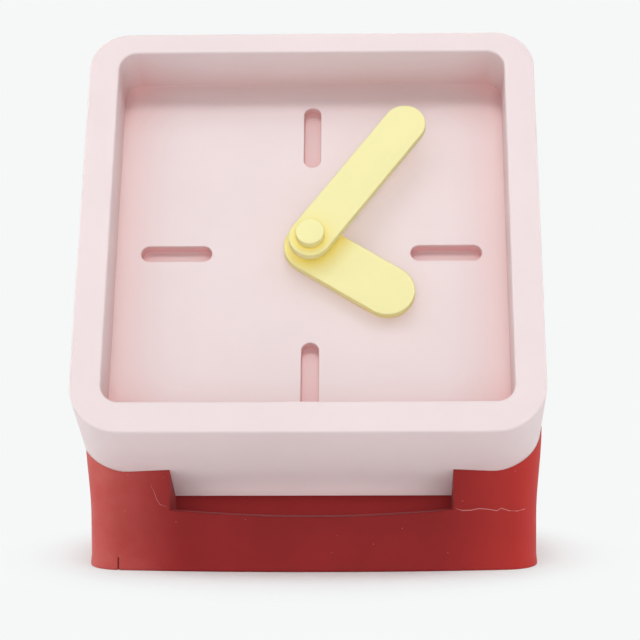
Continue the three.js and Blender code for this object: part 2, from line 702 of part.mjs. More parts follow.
// Stand: an upright block with a swelling front, less the leaning case and the finger notch
function stand() {
  const straight = BASE_HALF - BASE_CORNER;
  const slope = Math.atan((2 * BASE_BULGE) / straight);
  const endX = straight + BASE_CORNER * Math.sin(slope);
  const endY = BASE_FRONT + BASE_BULGE * (endX / straight) ** 2;
  const frontCorner = endY + BASE_CORNER * Math.cos(slope);
  const rearCorner = BASE_FRONT + BASE_DEPTH - BASE_CORNER;
  const plan = new THREE.Shape().moveTo(-endX, endY);
  plan.quadraticCurveTo(0, 2 * BASE_FRONT - endY, endX, endY);
  plan.absarc(straight, frontCorner, BASE_CORNER, rad(-90) + slope, 0);
  plan.absarc(straight, rearCorner, BASE_CORNER, 0, rad(90));
  plan.absarc(-straight, rearCorner, BASE_CORNER, rad(90), rad(180));
  plan.absarc(-straight, frontCorner, BASE_CORNER, rad(180), rad(270) - slope);
  const settings = {
    depth: supportTop,
    steps: BASE_LAYERS,
    bevelEnabled: false,
    curveSegments: CORNER_STEPS,
  };
  const block = new THREE.ExtrudeGeometry(plan, settings);
  const places = block.attributes.position;
  for (let i = 0; i < places.count; i++) {
    const rise = THREE.MathUtils.smoothstep(places.getZ(i), BASE_FLARE_LOW, BASE_FLARE_HIGH);
    places.setX(i, places.getX(i) * (1 + (rise * BASE_FLARE) / BASE_HALF) + BASE_SHIFT);
  }
  const seat = slabGeometry(caseOutline(-SEAT_GAP), -FAR, caseDepth + SEAT_GAP, CORNER_STEPS);
  const above = slabGeometry(rectangle(-FAR, edgeLow + BASE_SUPPORT, FAR, FAR), -FAR, FAR);
  return cut(
    solid(block),
    solid(seat.applyMatrix4(caseMatrix)),
    solid(above.applyMatrix4(caseMatrix)),
    ...fingerNotch(),
  );
}

function fingerNotch() {
  const lipBack = BASE_FRONT + NOTCH_WALL;
  const mouth = new THREE.Shape().moveTo(BASE_SHIFT - NOTCH_HALF, NOTCH_LIP);
  mouth.quadraticCurveTo(BASE_SHIFT, NOTCH_LIP - 2 * NOTCH_DIP, BASE_SHIFT + NOTCH_HALF, NOTCH_LIP);
  mouth.lineTo(BASE_SHIFT + NOTCH_HALF, FAR);
  mouth.lineTo(BASE_SHIFT - NOTCH_HALF, FAR);
  const pocket = rectangle(BASE_SHIFT - NOTCH_HALF, NOTCH_FLOOR, BASE_SHIFT + NOTCH_HALF, FAR);
  const standing = (outline, front, back) => {
    const settings = { depth: back - front, bevelEnabled: false, curveSegments: CORNER_STEPS };
    return solid(new THREE.ExtrudeGeometry(outline, settings).rotateX(rad(90)).translate(0, back, 0));
  };
  return [
    standing(mouth, BASE_FRONT - FAR, lipBack + FIT),
    standing(pocket, lipBack, backEdgeY + NOTCH_UNDERCUT),
  ];
}

// Finishes
const finish = (color, roughness, metalness = 0) =>
  new THREE.MeshStandardMaterial({ color, roughness, metalness });
const pink = finish(0xf0dfe0, 0.6);
const yellow = finish(0xf4eeaa, 0.6);
const red = finish(0x8c2c2e, 0.55);
const black = finish(0x232325, 0.5);
const nylon = finish(0xe8e6de, 0.5);
const brass = finish(0xb5954a, 0.35, 1);
const steel = finish(0xb8babd, 0.35, 1);
const copper = finish(0xb46a3c, 0.4, 1);
const green = finish(0x2f6b45, 0.5);
const wrap = finish(0x3c4654, 0.4);

// Assembly
const part = new THREE.Group();
const upright = new THREE.Group();
upright.position.y = -overallDepth / 2;
part.add(upright);
const leaning = new THREE.Group();
leaning.rotation.x = caseTurn;
leaning.position.set(0, caseY, caseZ);
upright.add(leaning);
upright.add(piece("base", stand(), red));

const atTime = (mesh, turns) => {
  mesh.rotation.z = -rad(360) * turns;
  return mesh;
};
const hourTurns = (SHOWN_HOUR + SHOWN_MINUTE / 60) / 12;
leaning.add(
  piece("front_case", frontCase(), pink),
  piece("rear_cover", rearCover(), pink),
  piece("battery_door", batteryDoor(), pink),
  atTime(piece("hour_hand", hourHand(), yellow), hourTurns),
  atTime(piece("minute_hand", minuteHand(), yellow), SHOWN_MINUTE / 60),
  piece("hand_cap", handCap(), yellow),
  piece("hand_bush", handBush(), brass),
  piece("cannon_pinion", cannonPinion(), brass),
  piece("hour_wheel", hourWheel(), nylon),
  piece("motion_wheel", motionWheel(), nylon),
  piece("setting_knob", settingKnob(), black),
  piece("centre_wheel", centreWheel(), nylon),
  piece("third_wheel", thirdWheel(), nylon),
  piece("seconds_wheel", secondsWheel(), nylon),
  piece("intermediate_wheel", intermediateWheel(), nylon),
  piece("rotor", rotor(), steel),
  piece("stator", stator(), steel),
  piece("coil_core", coilCore(), steel),
  piece("coil_bobbin", coilBobbin(), nylon),
  piece("coil_winding", coilWinding(), copper),
  piece("circuit_board", circuitBoard(), green),
  piece("chip", chip(), black),
  piece("quartz_crystal", quartzCrystal(), steel),
  piece("movement_front", movementFront(), black),
  piece("movement_back", movementBack(), black),
  piece("battery", battery(), wrap),
  piece("battery_contact_plus", contactPlus(), steel),
  piece("battery_contact_minus", contactMinus(), steel),
);
corners.forEach((at, index) => {
  const body = screw(at, coverHead, coverSeat - SCREW_BITE);
  leaning.add(piece(`cover_screw_${index + 1}`, body, steel));
});
ears.forEach((at, index) => {
  leaning.add(piece(`movement_screw_${index + 1}`, screw(at, earHead, earTip), steel));
});

export default part;
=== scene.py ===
"""Desk clock: a leaning case with a deep dial, thick hands, a closed back and a rubber stand."""

import math

import bmesh
import bpy
from bpy.props import FloatProperty, FloatVectorProperty, IntProperty, PointerProperty
from mathutils import Matrix, Vector


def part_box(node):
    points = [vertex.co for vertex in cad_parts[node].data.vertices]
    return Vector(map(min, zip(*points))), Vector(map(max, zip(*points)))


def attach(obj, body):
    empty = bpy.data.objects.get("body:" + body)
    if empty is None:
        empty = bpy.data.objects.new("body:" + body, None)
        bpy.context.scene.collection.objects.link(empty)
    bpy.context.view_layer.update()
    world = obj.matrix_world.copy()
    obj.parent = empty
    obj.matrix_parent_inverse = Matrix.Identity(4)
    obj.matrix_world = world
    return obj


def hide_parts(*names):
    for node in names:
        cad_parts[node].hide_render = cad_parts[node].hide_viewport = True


bl_info = {
    "name": "Desk Clock",
    "version": (1, 0, 0),
    "blender": (4, 5, 0),
    "location": "View3D > Sidebar > Desk Clock",
    "description": "Builds a leaning desk clock: case, hands, back, movement finishes and rubber stand",
    "category": "Add Mesh",
}

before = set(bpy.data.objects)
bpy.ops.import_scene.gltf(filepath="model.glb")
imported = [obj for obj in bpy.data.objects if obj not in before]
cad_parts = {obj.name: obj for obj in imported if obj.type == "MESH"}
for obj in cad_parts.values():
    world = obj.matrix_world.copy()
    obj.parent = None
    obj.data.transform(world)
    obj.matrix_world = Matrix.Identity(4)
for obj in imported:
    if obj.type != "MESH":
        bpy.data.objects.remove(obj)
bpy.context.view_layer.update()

MM = 0.001
CASE_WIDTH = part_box("front_case")[1].x * 2
MERGE = 0.004 * MM  # points nearer than this become one after a cut
FLAT = math.radians(0.05)  # faces that differ by less than this become one after a cut


def linear(code):
    """An sRGB hex colour as linear red, green and blue."""
    parts = [int(code[i : i + 2], 16) / 255 for i in (0, 2, 4)]
    return tuple(p / 12.92 if p <= 0.04045 else ((p + 0.055) / 1.055) ** 2.4 for p in parts)


def length(label, words, size):
    return FloatProperty(name=label, description=words, default=size * MM, unit="LENGTH", precision=5)


def angle(label, words, degrees):
    return FloatProperty(name=label, description=words, default=math.radians(degrees), subtype="ANGLE")


def colour(label, words, code):
    return FloatVectorProperty(
        name=label, description=words, default=linear(code), subtype="COLOR", min=0, max=1
    )


class CaseSizes(bpy.types.PropertyGroup):
    tilt: angle("Tilt", "How far the face leans back", 30)
    width: length("Width", "Width of the face", CASE_WIDTH / MM)
    height: length("Height", "Height of the face, along its lean", 98.5)
    face_low: length("Face height", "Height of the face's bottom edge above the table", 32.1)
    depth: length("Depth", "From the face to the back", 35.5)
    corner: length("Corner", "Radius of the lower outer corners", 11)
    corner_top: length("Top corner", "Radius of the upper outer corners", 9)
    rim_side: length("Side rim", "Width of the rim beside the dial", 6.65)
    rim_top: length("Top rim", "Width of the rim above the dial", 5.15)
    rim_low: length("Low rim", "Width of the rim below the dial", 7.1)
    mouth_corner: length("Mouth corner", "Radius of the dial recess's corners", 4)
    recess: length("Recess", "From the rim down to the dial", 13.8)
    dial: length("Dial", "Thickness of the dial", 3.7)
    wall: length("Wall", "Thickness of the side walls", 3.2)
    lip: length("Lip", "Wall left standing round the rear cover", 1.6)
    edge: length("Edge", "Radius of the rim's moulded edges", 0.5)
    crease: length("Crease", "Radius where the recess meets the dial", 0.1)
    mark_length: length("Mark length", "Length of an hour mark", 15.8)
    mark_width: length("Mark width", "Width of an hour mark", 3.8)
    mark_depth: length("Mark depth", "Depth of an hour mark", 2.7)
    mark_centre: length("Mark place", "From the dial's middle to a mark's middle", 30)
    mark_edge: length("Mark edge", "Radius of a mark's edge", 0.25)
    bush: length("Bush hole", "Radius of the hole for the hand shafts", 4.1)


class HandSizes(bpy.types.PropertyGroup):
    hour_turn: angle("Hour turn", "Hour hand, clockwise from twelve", 123)
    minute_turn: angle("Minute turn", "Minute hand, clockwise from twelve", 36)
    hour_reach: length("Hour reach", "From the pivot to the middle of the hour hand's tip", 20.2)
    hour_width: length("Hour width", "Width of the hour hand", 12)
    hour_front: length("Hour front", "Depth of the hour hand's front below the rim", 10.3)
    hour_thick: length("Hour thickness", "Thickness of the hour hand", 2)
    hour_bore: length("Hour bore", "Radius of the hour hand's hole", 2.6)
    minute_reach: length("Minute reach", "From the pivot to the middle of the minute hand's tip", 35.6)
    minute_width: length("Minute width", "Width of the minute hand", 9.5)
    minute_front: length("Minute front", "Depth of the minute hand's front below the rim", 5.9)
    minute_thick: length("Minute thickness", "Thickness of the minute hand", 2.1)
    minute_bore: length("Minute bore", "Radius of the minute hand's hole", 1.55)
    cap_radius: length("Cap radius", "Radius of the cap over the minute hand's hub", 3.15)
    cap_height: length("Cap height", "Height of that cap", 2.4)
    cap_gap: length("Cap gap", "Seam between the cap and the minute hand", 0.02)
    edge: length("Edge", "Radius of the hands' edges", 0.28)


class BackSizes(bpy.types.PropertyGroup):
    cover: length("Cover", "Thickness of the rear cover", 2.3)
    cover_gap: length("Cover gap", "Gap round the rear cover", 0.3)
    edge: length("Edge", "Radius of the moulded edges", 0.35)
    door_half: length("Door half width", "Half the battery door's width", 28.9)
    door_low: length("Door hinge", "Height of the door's hinge above the hands' axis", 10.702)
    door_high: length("Door top", "Height of the door's top above the hands' axis", 28.002)
    door: length("Door", "Thickness of the battery door", 1.4)
    door_gap: length("Door gap", "Gap round the battery door", 0.35)
    door_corner: length("Door corner", "Radius of the battery door's corners", 0.9)
    barrel: length("Barrel", "Radius of the door's hinge barrel", 0.95)
    barrel_sink: length("Barrel sink", "How far the barrel lies below the cover", 0.05)
    pin: length("Pin", "Radius of the door's hinge pins", 0.55)
    pin_length: length("Pin length", "How far the pins stand out of the door", 1.2)
    pin_edge: length("Pin edge", "Chamfer of the pins' ends", 0.2)
    ridges: IntProperty(name="Ridges", description="Thumb ridges on the door", default=5)
    ridge_half: length("Ridge half length", "Half a thumb ridge's length", 9)
    ridge_width: length("Ridge width", "Width of a thumb ridge", 0.7)
    ridge_height: length("Ridge height", "Height of a thumb ridge", 0.45)
    ridge_step: length("Ridge step", "From one thumb ridge to the next", 1.3)
    ridge_inset: length("Ridge inset", "From the door's top to its first thumb ridge", 2.2)
    knob: length("Knob", "Radius of the setting knob", 6.5)
    knob_gap: length("Knob gap", "Gap round the setting knob", 0.7)
    knob_proud: length("Knob height", "How far the knob stands out of the cover", 1.2)
    flutes: IntProperty(name="Flutes", description="Grips round the knob", default=16)
    flute: length("Flute", "Depth of a grip", 0.6)
    dish: length("Dish", "Radius of the hollow in the knob's end", 4)
    dish_depth: length("Dish depth", "Depth of that hollow", 0.45)
    screw_inset: length("Screw inset", "From the case's sides to the screws", 8.6)
    screw_head: length("Screw head", "Radius of a screw's head", 2.6)
    screw_head_height: length("Head height", "Height of a screw's head", 1)
    screw_sink: length("Screw sink", "How far a screw's head lies below the cover", 0.1)
    screw_gap: length("Screw gap", "Gap round a screw's head", 0.2)
    screw_shank: length("Screw shank", "Radius of a screw's thread", 1.25)
    screw_reach: length("Screw reach", "From a screw's head to its tip", 8.6)
    cross_reach: length("Cross reach", "Half the length of the screws' cross slot", 1.35)
    cross_half: length("Cross half width", "Half the width of that slot", 0.38)
    cross_depth: length("Cross depth", "Depth of that slot", 0.7)


class StandSizes(bpy.types.PropertyGroup):
    half: length("Half width", "Half the stand's width at the table", 48.75)
    flare: length("Flare", "How much wider each side is at the ears", 1.15)
    flare_low: length("Flare start", "Height where the sides start to widen", 11)
    flare_high: length("Flare end", "Height where they stop", 30)
    shift: length("Shift", "How far the stand's middle lies to the right of the case's", 0.45)
    corner: length("Corner", "Radius of the upright corners", 7.7)
    front: length("Front", "From the face's bottom edge back to the front wall", 16.1)
    depth: length("Depth", "From the front wall to the back wall", 62)
    bulge: length("Bulge", "How far the front swells forward of its corners", 2.4)
    support: length("Support", "How far up the case's back the stand reaches", 35)
    notch_shift: length("Notch shift", "How far the notch's middle lies to the right of the case's", 0.35)
    notch_half: length("Notch half width", "Half the finger notch's width", 30.5)
    notch_lip: length("Notch lip", "Height of the front lip at the notch's ends", 13.3)
    notch_dip: length("Notch dip", "How much lower the lip is in the middle", 1.4)
    notch_wall: length("Notch wall", "Thickness of the front lip", 3)
    notch_floor: length("Notch floor", "Height of the pocket behind the lip", 7)
    undercut: length("Undercut", "How far the pocket runs behind the case's back edge", 0.6)
    seat_gap: length("Seat gap", "Gap between the case and its seat", 0.06)
    foot: length("Foot", "Radius of the edge at the table", 0.4)
    foot_lip: length("Foot lip", "How far the foot stands out of the walls", 0.2)
    foot_rise: length("Foot rise", "Height of that foot", 2.4)
    edge: length("Edge", "Radius of the other edges", 0.2)
    slit_at: length("Slit place", "Place of the moulding slit at the foot, from the case's middle", -41.6)
    slit_width: length("Slit width", "Width of the moulding slit", 0.3)
    slit_height: length("Slit height", "Height of the moulding slit", 2.8)
    slit_depth: length("Slit depth", "Depth of the moulding slit", 0.7)
    flash: length("Flash", "Radius of the hair lines of moulding flash", 0.09)


class Colours(bpy.types.PropertyGroup):
    case: colour("Case", "Moulded case and back", "e1d1d2")
    # Painted shade: the case's colours for its creases and narrow grooves, darker where shade falls
    case_painted_shade: colour("Case creases", "Moulded case in its creases", "ddbebc")
    case_groove_painted_shade: colour("Case grooves", "Moulded case in its narrowest grooves", "e6abac")
    hands: colour("Hands", "Moulded hands and cap", "e5de9f")
    # Painted shade: the hands' colour for their creases and where other parts lie close over them
    hands_painted_shade: colour("Hands creases", "Moulded hands in their creases", "e4cc3c")
    stand: colour("Stand", "Moulded rubber stand", "8f2425")
    # Painted light: the stand's colour towards its sides, brighter where side light falls
    painted_side_light: colour("Painted side light", "Rubbed rubber at the stand's sides", "bc3732")
    # Painted sheen: the paler colour on the stand's left corner
    painted_sheen: colour("Painted sheen", "Chalky bloom on the stand's left corner", "cf7b75")
    flash: colour("Flash", "Thin moulding flash on the stand", "cf8d8c")
    black: colour("Movement", "Moulded movement housing and knob", "242426")
    gears: colour("Gears", "Natural gear plastic", "e8e6de")
    brass: colour("Brass", "Turned brass", "c8a85a")
    steel: colour("Steel", "Plated steel", "c3c5c8")
    copper: colour("Copper", "Enamelled copper wire", "b8703f")
    board: colour("Board", "Circuit board", "2c6843")
    cell: colour("Cell", "Battery wrap", "3a4450")
    paper: colour("Floor", "Floor and backdrop", "f6f8f8")


GROUPS = {
    "clock_case": CaseSizes,
    "clock_hands": HandSizes,
    "clock_back": BackSizes,
    "clock_stand": StandSizes,
    "clock_colours": Colours,
}


# Places
def face_place():
    """Where the face's bottom edge lies from front to back: the clock is centred over the origin."""
    case = bpy.context.scene.clock_case
    return -(case.height * math.sin(case.tilt) + case.depth * math.cos(case.tilt)) / 2


def case_matrix():
    """Where the case leans: x across the face, y up it, z out of it, from the middle of the rim."""
    case = bpy.context.scene.clock_case
    up = case.height / 2
    middle = (0, face_place() + up * math.sin(case.tilt), case.face_low + up * math.cos(case.tilt))
    return Matrix.Translation(middle) @ Matrix.Rotation(math.pi / 2 - case.tilt, 4, "X")


def towards(azimuth, elevation):
    """A direction out of the clock, from straight ahead round to the right, and up."""
    flat = math.cos(elevation)
    return Vector((math.sin(azimuth) * flat, -math.cos(azimuth) * flat, math.sin(elevation)))


# Outlines: lists of points, or functions that give the points moved outwards by a distance
def arc(x, y, radius, start, end, steps):
    angles = [math.radians(start + (end - start) * i / steps) for i in range(steps + 1)]
    return [(x + radius * math.cos(a), y + radius * math.sin(a)) for a in angles]


def rounded(left, low, right, high, corner, corner_top=None, steps=14):
    top = corner if corner_top is None else corner_top

    def points(out=0):
        ring = arc(right - corner, low + corner, corner + out, -90, 0, steps)
        ring += arc(right - top, high - top, top + out, 0, 90, steps)
        ring += arc(left + top, high - top, top + out, 90, 180, steps)
        return ring + arc(left + corner, low + corner, corner + out, 180, 270, steps)

    return points


def rectangle(left, low, right, high):
    return [(left, low), (right, low), (right, high), (left, high)]


def case_outline():
    case = bpy.context.scene.clock_case
    side, high = case.width / 2, case.height / 2
    return rounded(-side, -high, side, high, case.corner, case.corner_top)


def disc(radius, x=0, y=0, steps=48):
    return lambda out=0: arc(x, y, radius + out, 0, 360, steps)[:-1]


def bar(reach, width, turn, start=0):
    """A round-ended bar that points up, turned clockwise."""

    def points(out=0):
        r = width / 2 + out
        ring = arc(0, start, r, 180, 360, 20) + arc(0, start + reach, r, 0, 180, 20)
        sin, cos = math.sin(turn), math.cos(turn)
        return [(x * cos + y * sin, y * cos - x * sin) for x, y in ring]

    return points


def fluted(radius, depth, count, x, y, steps=6):
    def points(out=0):
        ring = []
        for i in range(count * steps):
            swing = 0.5 - 0.5 * math.cos(2 * math.pi * i / steps)
            r = radius + out - depth * swing
            a = 2 * math.pi * i / (count * steps)
            ring.append((x + r * math.cos(a), y + r * math.sin(a)))
        return ring

    return points


# Mesh making
def at_depth(points, depth):
    return [Vector((x, y, -depth)) for x, y in points]


def skin(bm, rings):
    """Joins rings of points that follow each other with bands of faces."""
    rows = [[bm.verts.new(p) for p in ring] for ring in rings]
    for a, b in zip(rows, rows[1:]):
        for i in range(len(a)):
            j = (i + 1) % len(a)
            bm.faces.new((a[i], a[j], b[j], b[i]))
    return rows


def fill(bm, *rows):
    """A flat face inside the first row, with the other rows as holes."""
    if len(rows) == 1:
        bm.faces.new(rows[0])
        return
    edges = [bm.edges.get((row[i], row[(i + 1) % len(row)])) for row in rows for i in range(len(row))]
    bmesh.ops.triangle_fill(bm, use_beauty=True, edges=edges)


def solid(bm, rings):
    """Bands of faces round rings of points, with a flat face at both ends."""
    rows = skin(bm, rings)
    fill(bm, rows[0])
    fill(bm, rows[-1])
    return bm


def quarter(radius, steps=4):
    """A rounded edge as pairs: across from the wall, and along it from the face."""
    turns = [math.pi / 2 * i / steps for i in range(steps + 1)]
    return [(radius * (1 - math.sin(t)), radius * (1 - math.cos(t))) for t in turns]


def softened(near, far, edge):
    """A wall between two depths with both its edges rounded, as pairs of inset and depth."""
    profile = [(inset, near + drop) for inset, drop in quarter(edge)]
    return profile + [(inset, far - drop) for inset, drop in reversed(quarter(edge))]


def plate(outer, holes, near, far, edge):
    """A flat piece with rounded edges, between two depths."""
    bm = bmesh.new()
    profile = softened(near, far, edge)
    rows = [skin(bm, [at_depth(outer(-inset), depth) for inset, depth in profile])]
    rows += [skin(bm, [at_depth(hole(inset), depth) for inset, depth in profile]) for hole in holes]
    fill(bm, *[row[0] for row in rows])
    fill(bm, *[row[-1] for row in rows])
    return bm


def rod(profile, y, depth, steps=24):
    """A turned piece along x: pairs of place and radius, closed at both ends."""
    rings = []
    for x, radius in profile:
        ring = arc(y, -depth, radius, 0, 360, steps)[:-1]
        rings.append([Vector((x, a, b)) for a, b in ring])
    return solid(bmesh.new(), rings)


def prism(outline, near, far, place):
    """A sharp-edged solid of an outline, between two depths."""
    bm = solid(bmesh.new(), [at_depth(outline, near), at_depth(outline, far)])
    bmesh.ops.transform(bm, matrix=place, verts=bm.verts)
    return bm


def loose(name, bm):
    """Turns a mesh into an object that rides on nothing yet."""
    bmesh.ops.recalc_face_normals(bm, faces=bm.faces)
    mesh = bpy.data.meshes.new(name)
    bm.to_mesh(mesh)
    bm.free()
    made = bpy.data.objects.new(name, mesh)
    bpy.context.scene.collection.objects.link(made)
    return made


def combine(operation, first, others):
    """Joins closed meshes to the first one, or cuts them out of it."""
    body = loose("body", first)
    tools = [loose("tool", other) for other in others]
    for tool in tools:
        step = body.modifiers.new("combine", "BOOLEAN")
        step.operation = operation
        step.solver = "EXACT"
        step.object = tool
    graph = bpy.context.evaluated_depsgraph_get()
    mesh = bpy.data.meshes.new_from_object(body.evaluated_get(graph))
    bm = bmesh.new()
    bm.from_mesh(mesh)
    bpy.data.meshes.remove(mesh)
    for spare in (body, *tools):
        data = spare.data
        bpy.data.objects.remove(spare)
        bpy.data.meshes.remove(data)
    bmesh.ops.remove_doubles(bm, verts=bm.verts, dist=MERGE)
    bmesh.ops.dissolve_limit(bm, angle_limit=FLAT, verts=bm.verts, edges=bm.edges)
    return bm


def piece(name, bm, materials, body, nodes, place=None, sharp=35):
    """Turns a mesh into a piece that rides on a body in place of its solid."""
    if place:
        bmesh.ops.transform(bm, matrix=place, verts=bm.verts)
    made = loose(name, bm)
    for material in materials:
        made.data.materials.append(material)
    made.data.shade_smooth()
    made.data.set_sharp_from_angle(angle=math.radians(sharp))
    even = made.modifiers.new("Even shading", "WEIGHTED_NORMAL")
    even.keep_sharp = True
    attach(made, body)
    if nodes:
        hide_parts(*nodes)
    return made


# Materials
def add(tree, kind, settings=None, links=None):
    """Adds a node, sets its values and joins its inputs to sockets, or to the first output of nodes."""
    made = tree.nodes.new(kind)
    for key, value in (settings or {}).items():
        if isinstance(key, str) and key not in made.inputs:
            setattr(made, key, value)
        else:
            made.inputs[key].default_value = value
    for key, source in (links or {}).items():
        if isinstance(source, bpy.types.Node):
            source = next(output for output in source.outputs if output.enabled)
        tree.links.new(source, made.inputs[key])
    return made


def start_material(name):
    """A new material with its tree and a link to its object coordinates, or the one made before."""
    made = bpy.data.materials.get(name)
    if made:
        return made, None, None
    made = bpy.data.materials.new(name)
    made.use_nodes = True
    tree = made.node_tree
    tree.nodes.clear()
    return made, tree, {"Vector": add(tree, "ShaderNodeTexCoord").outputs["Object"]}


def finish_material(tree, settings, links):
    shader = add(tree, "ShaderNodeBsdfPrincipled", settings, links)
    add(tree, "ShaderNodeOutputMaterial", None, {"Surface": shader})


def tone(shade, factor):
    return (*(min(1, c * factor) for c in shade), 1)


def per(size):
    """How many pattern cells fill a metre, for a cell of that many millimetres."""
    return 1 / (size * MM)


def moulded(name, shade, clouds, grain, roughness, bump, specular=0.4, creases=(), reach=1, local=True):
    """A moulded plastic: faint clouds in the colour, the fine grain of its mould and painted shade in its
    creases.

    Clouds, grain and reach are in millimetres. A crease is a painted shade's colour, and how open to its
    surroundings a place is where that colour is full and where it ends.
    """
    made, tree, where = start_material(name)
    if not tree:
        return made
    cloud = add(tree, "ShaderNodeTexNoise", {"Scale": per(clouds), "Detail": 4, "Roughness": 0.6}, where)
    fine = add(tree, "ShaderNodeTexNoise", {"Scale": per(grain), "Detail": 3, "Roughness": 0.7}, where)
    shades = {"data_type": "RGBA", 6: tone(shade, 0.95), 7: tone(shade, 1.05)}
    tint = add(tree, "ShaderNodeMix", shades, {0: cloud})
    limits = {"To Min": roughness - 0.05, "To Max": roughness + 0.06}
    dull = add(tree, "ShaderNodeMapRange", limits, {"Value": fine})
    relief = add(tree, "ShaderNodeBump", {"Strength": bump, "Distance": 0.05 * MM}, {"Height": fine})
    # Painted shade: a darker colour where walls or nearby parts close a place in, where shade falls
    if creases:
        nearby = {"only_local": local, "samples": 8, "Distance": reach * MM}
        around = add(tree, "ShaderNodeAmbientOcclusion", nearby).outputs["AO"]
    for painted_colour, full, none in creases:
        limits = {"From Min": full, "From Max": none, "To Min": 1.0, "To Max": 0.0}
        depth = add(tree, "ShaderNodeMapRange", limits, {"Value": around})
        tint = add(tree, "ShaderNodeMix", {"data_type": "RGBA", 7: (*painted_colour, 1)}, {0: depth, 6: tint})
    settings = {"IOR": 1.5, "Specular IOR Level": specular}
    finish_material(tree, settings, {"Base Color": tint, "Roughness": dull, "Normal": relief})
    return made


def case_abs():
    # ABS from a spark-eroded mould: matt and even, the 0.3 mm grain drawn at 0.6 mm so that it shows
    colours = bpy.context.scene.clock_colours
    return moulded(
        "abs_pale_pink",
        colours.case,
        clouds=30,
        grain=0.6,
        roughness=0.58,
        bump=0.25,
        # Painted shade: darker pink in the recess's creases, darker still in the narrow grooves
        creases=[(colours.case_painted_shade, 0.4, 0.95), (colours.case_groove_painted_shade, 0.1, 0.5)],
        reach=14,
    )


def hand_abs():
    # ABS from a polished mould: a little smoother than the case
    colours = bpy.context.scene.clock_colours
    return moulded(
        "abs_pale_yellow",
        colours.hands,
        clouds=12,
        grain=0.5,
        roughness=0.5,
        bump=0.18,
        # Painted shade: darker yellow in creases and where the other hand or the cap lies close over it
        creases=[(colours.hands_painted_shade, 0.4, 0.95)],
        reach=5,
        local=False,
    )


def movement_styrene():
    # Polystyrene from a textured mould: black with a dull shine
    shade = bpy.context.scene.clock_colours.black
    return moulded("polystyrene_black", shade, clouds=15, grain=0.5, roughness=0.45, bump=0.4)


def gear_acetal():
    # Acetal from a polished mould: milky and slightly waxy
    shade = bpy.context.scene.clock_colours.gears
    return moulded("acetal_natural", shade, clouds=6, grain=0.4, roughness=0.38, bump=0.1)


def cell_wrap():
    # Shrunk PVC film over a steel can: smooth, with a soft mottle
    shade = bpy.context.scene.clock_colours.cell
    return moulded("pvc_film_slate", shade, clouds=8, grain=1.5, roughness=0.3, bump=0.08, specular=0.5)


def flash_silicone():
    # Thin silicone flash: stretched so thin that it turns pale
    shade = bpy.context.scene.clock_colours.flash
    return moulded("silicone_flash_pale", shade, clouds=2, grain=0.4, roughness=0.6, bump=0.3)


def stand_silicone():
    """Silicone rubber from a rough mould: dark red and dull, with painted light towards its sides, a painted
    sheen on its left corner, and fine dust.
    """
    made, tree, where = start_material("silicone_red")
    if not tree:
        return made
    colours, stand = bpy.context.scene.clock_colours, bpy.context.scene.clock_stand
    cloud = add(tree, "ShaderNodeTexNoise", {"Scale": per(14), "Detail": 5, "Roughness": 0.65}, where)
    # The mould's 0.2 mm grain is drawn at 0.55 mm so that it shows
    fine = add(tree, "ShaderNodeTexNoise", {"Scale": per(0.55), "Detail": 4, "Roughness": 0.75}, where)
    shades = {"data_type": "RGBA", 6: tone(colours.stand, 0.8), 7: tone(colours.stand, 1.2)}
    tint = add(tree, "ShaderNodeMix", shades, {0: cloud})
    # Painted side light: brighter from half way out to the sides
    across = add(tree, "ShaderNodeSeparateXYZ", None, where).outputs["X"]
    side = add(tree, "ShaderNodeMath", {"operation": "ABSOLUTE"}, {0: across})
    limits = {"interpolation_type": "SMOOTHSTEP", "From Min": stand.half * 0.5, "From Max": stand.half * 1.05}
    painted_side_light = add(tree, "ShaderNodeMapRange", limits, {"Value": side})
    # Painted sheen: paler in patches towards the left corner
    limits.update({"From Min": -stand.half * 0.55, "From Max": -stand.half * 1.05})
    left_corner_ramp = add(tree, "ShaderNodeMapRange", limits, {"Value": across})
    sheen_patches = add(tree, "ShaderNodeMath", {"operation": "MULTIPLY"}, {0: left_corner_ramp, 1: cloud})
    # Dust: pale specks 0.3 mm across, one to each 3.2 mm
    speck = add(tree, "ShaderNodeTexVoronoi", {"Scale": per(3.2)}, where)
    limits = {"From Min": 0.035, "From Max": 0.06, "To Min": 0.35, "To Max": 0.0}
    dust = add(tree, "ShaderNodeMapRange", limits, {"Value": speck})
    # Lays the painted side light, the painted sheen and the pale dust specks over the colour
    for shade, share in ((colours.painted_side_light, painted_side_light), (colours.painted_sheen, sheen_patches), (colours.flash, dust)):
        tint = add(tree, "ShaderNodeMix", {"data_type": "RGBA", 7: (*shade, 1)}, {0: share, 6: tint})
    dull = add(tree, "ShaderNodeMapRange", {"To Min": 0.52, "To Max": 0.66}, {"Value": fine})
    relief = add(tree, "ShaderNodeBump", {"Strength": 0.35, "Distance": 0.06 * MM}, {"Height": fine})
    settings = {"IOR": 1.42, "Specular IOR Level": 0.16, "Sheen Weight": 0.04, "Sheen Roughness": 0.5}
    finish_material(tree, settings, {"Base Color": tint, "Roughness": dull, "Normal": relief})
    return made


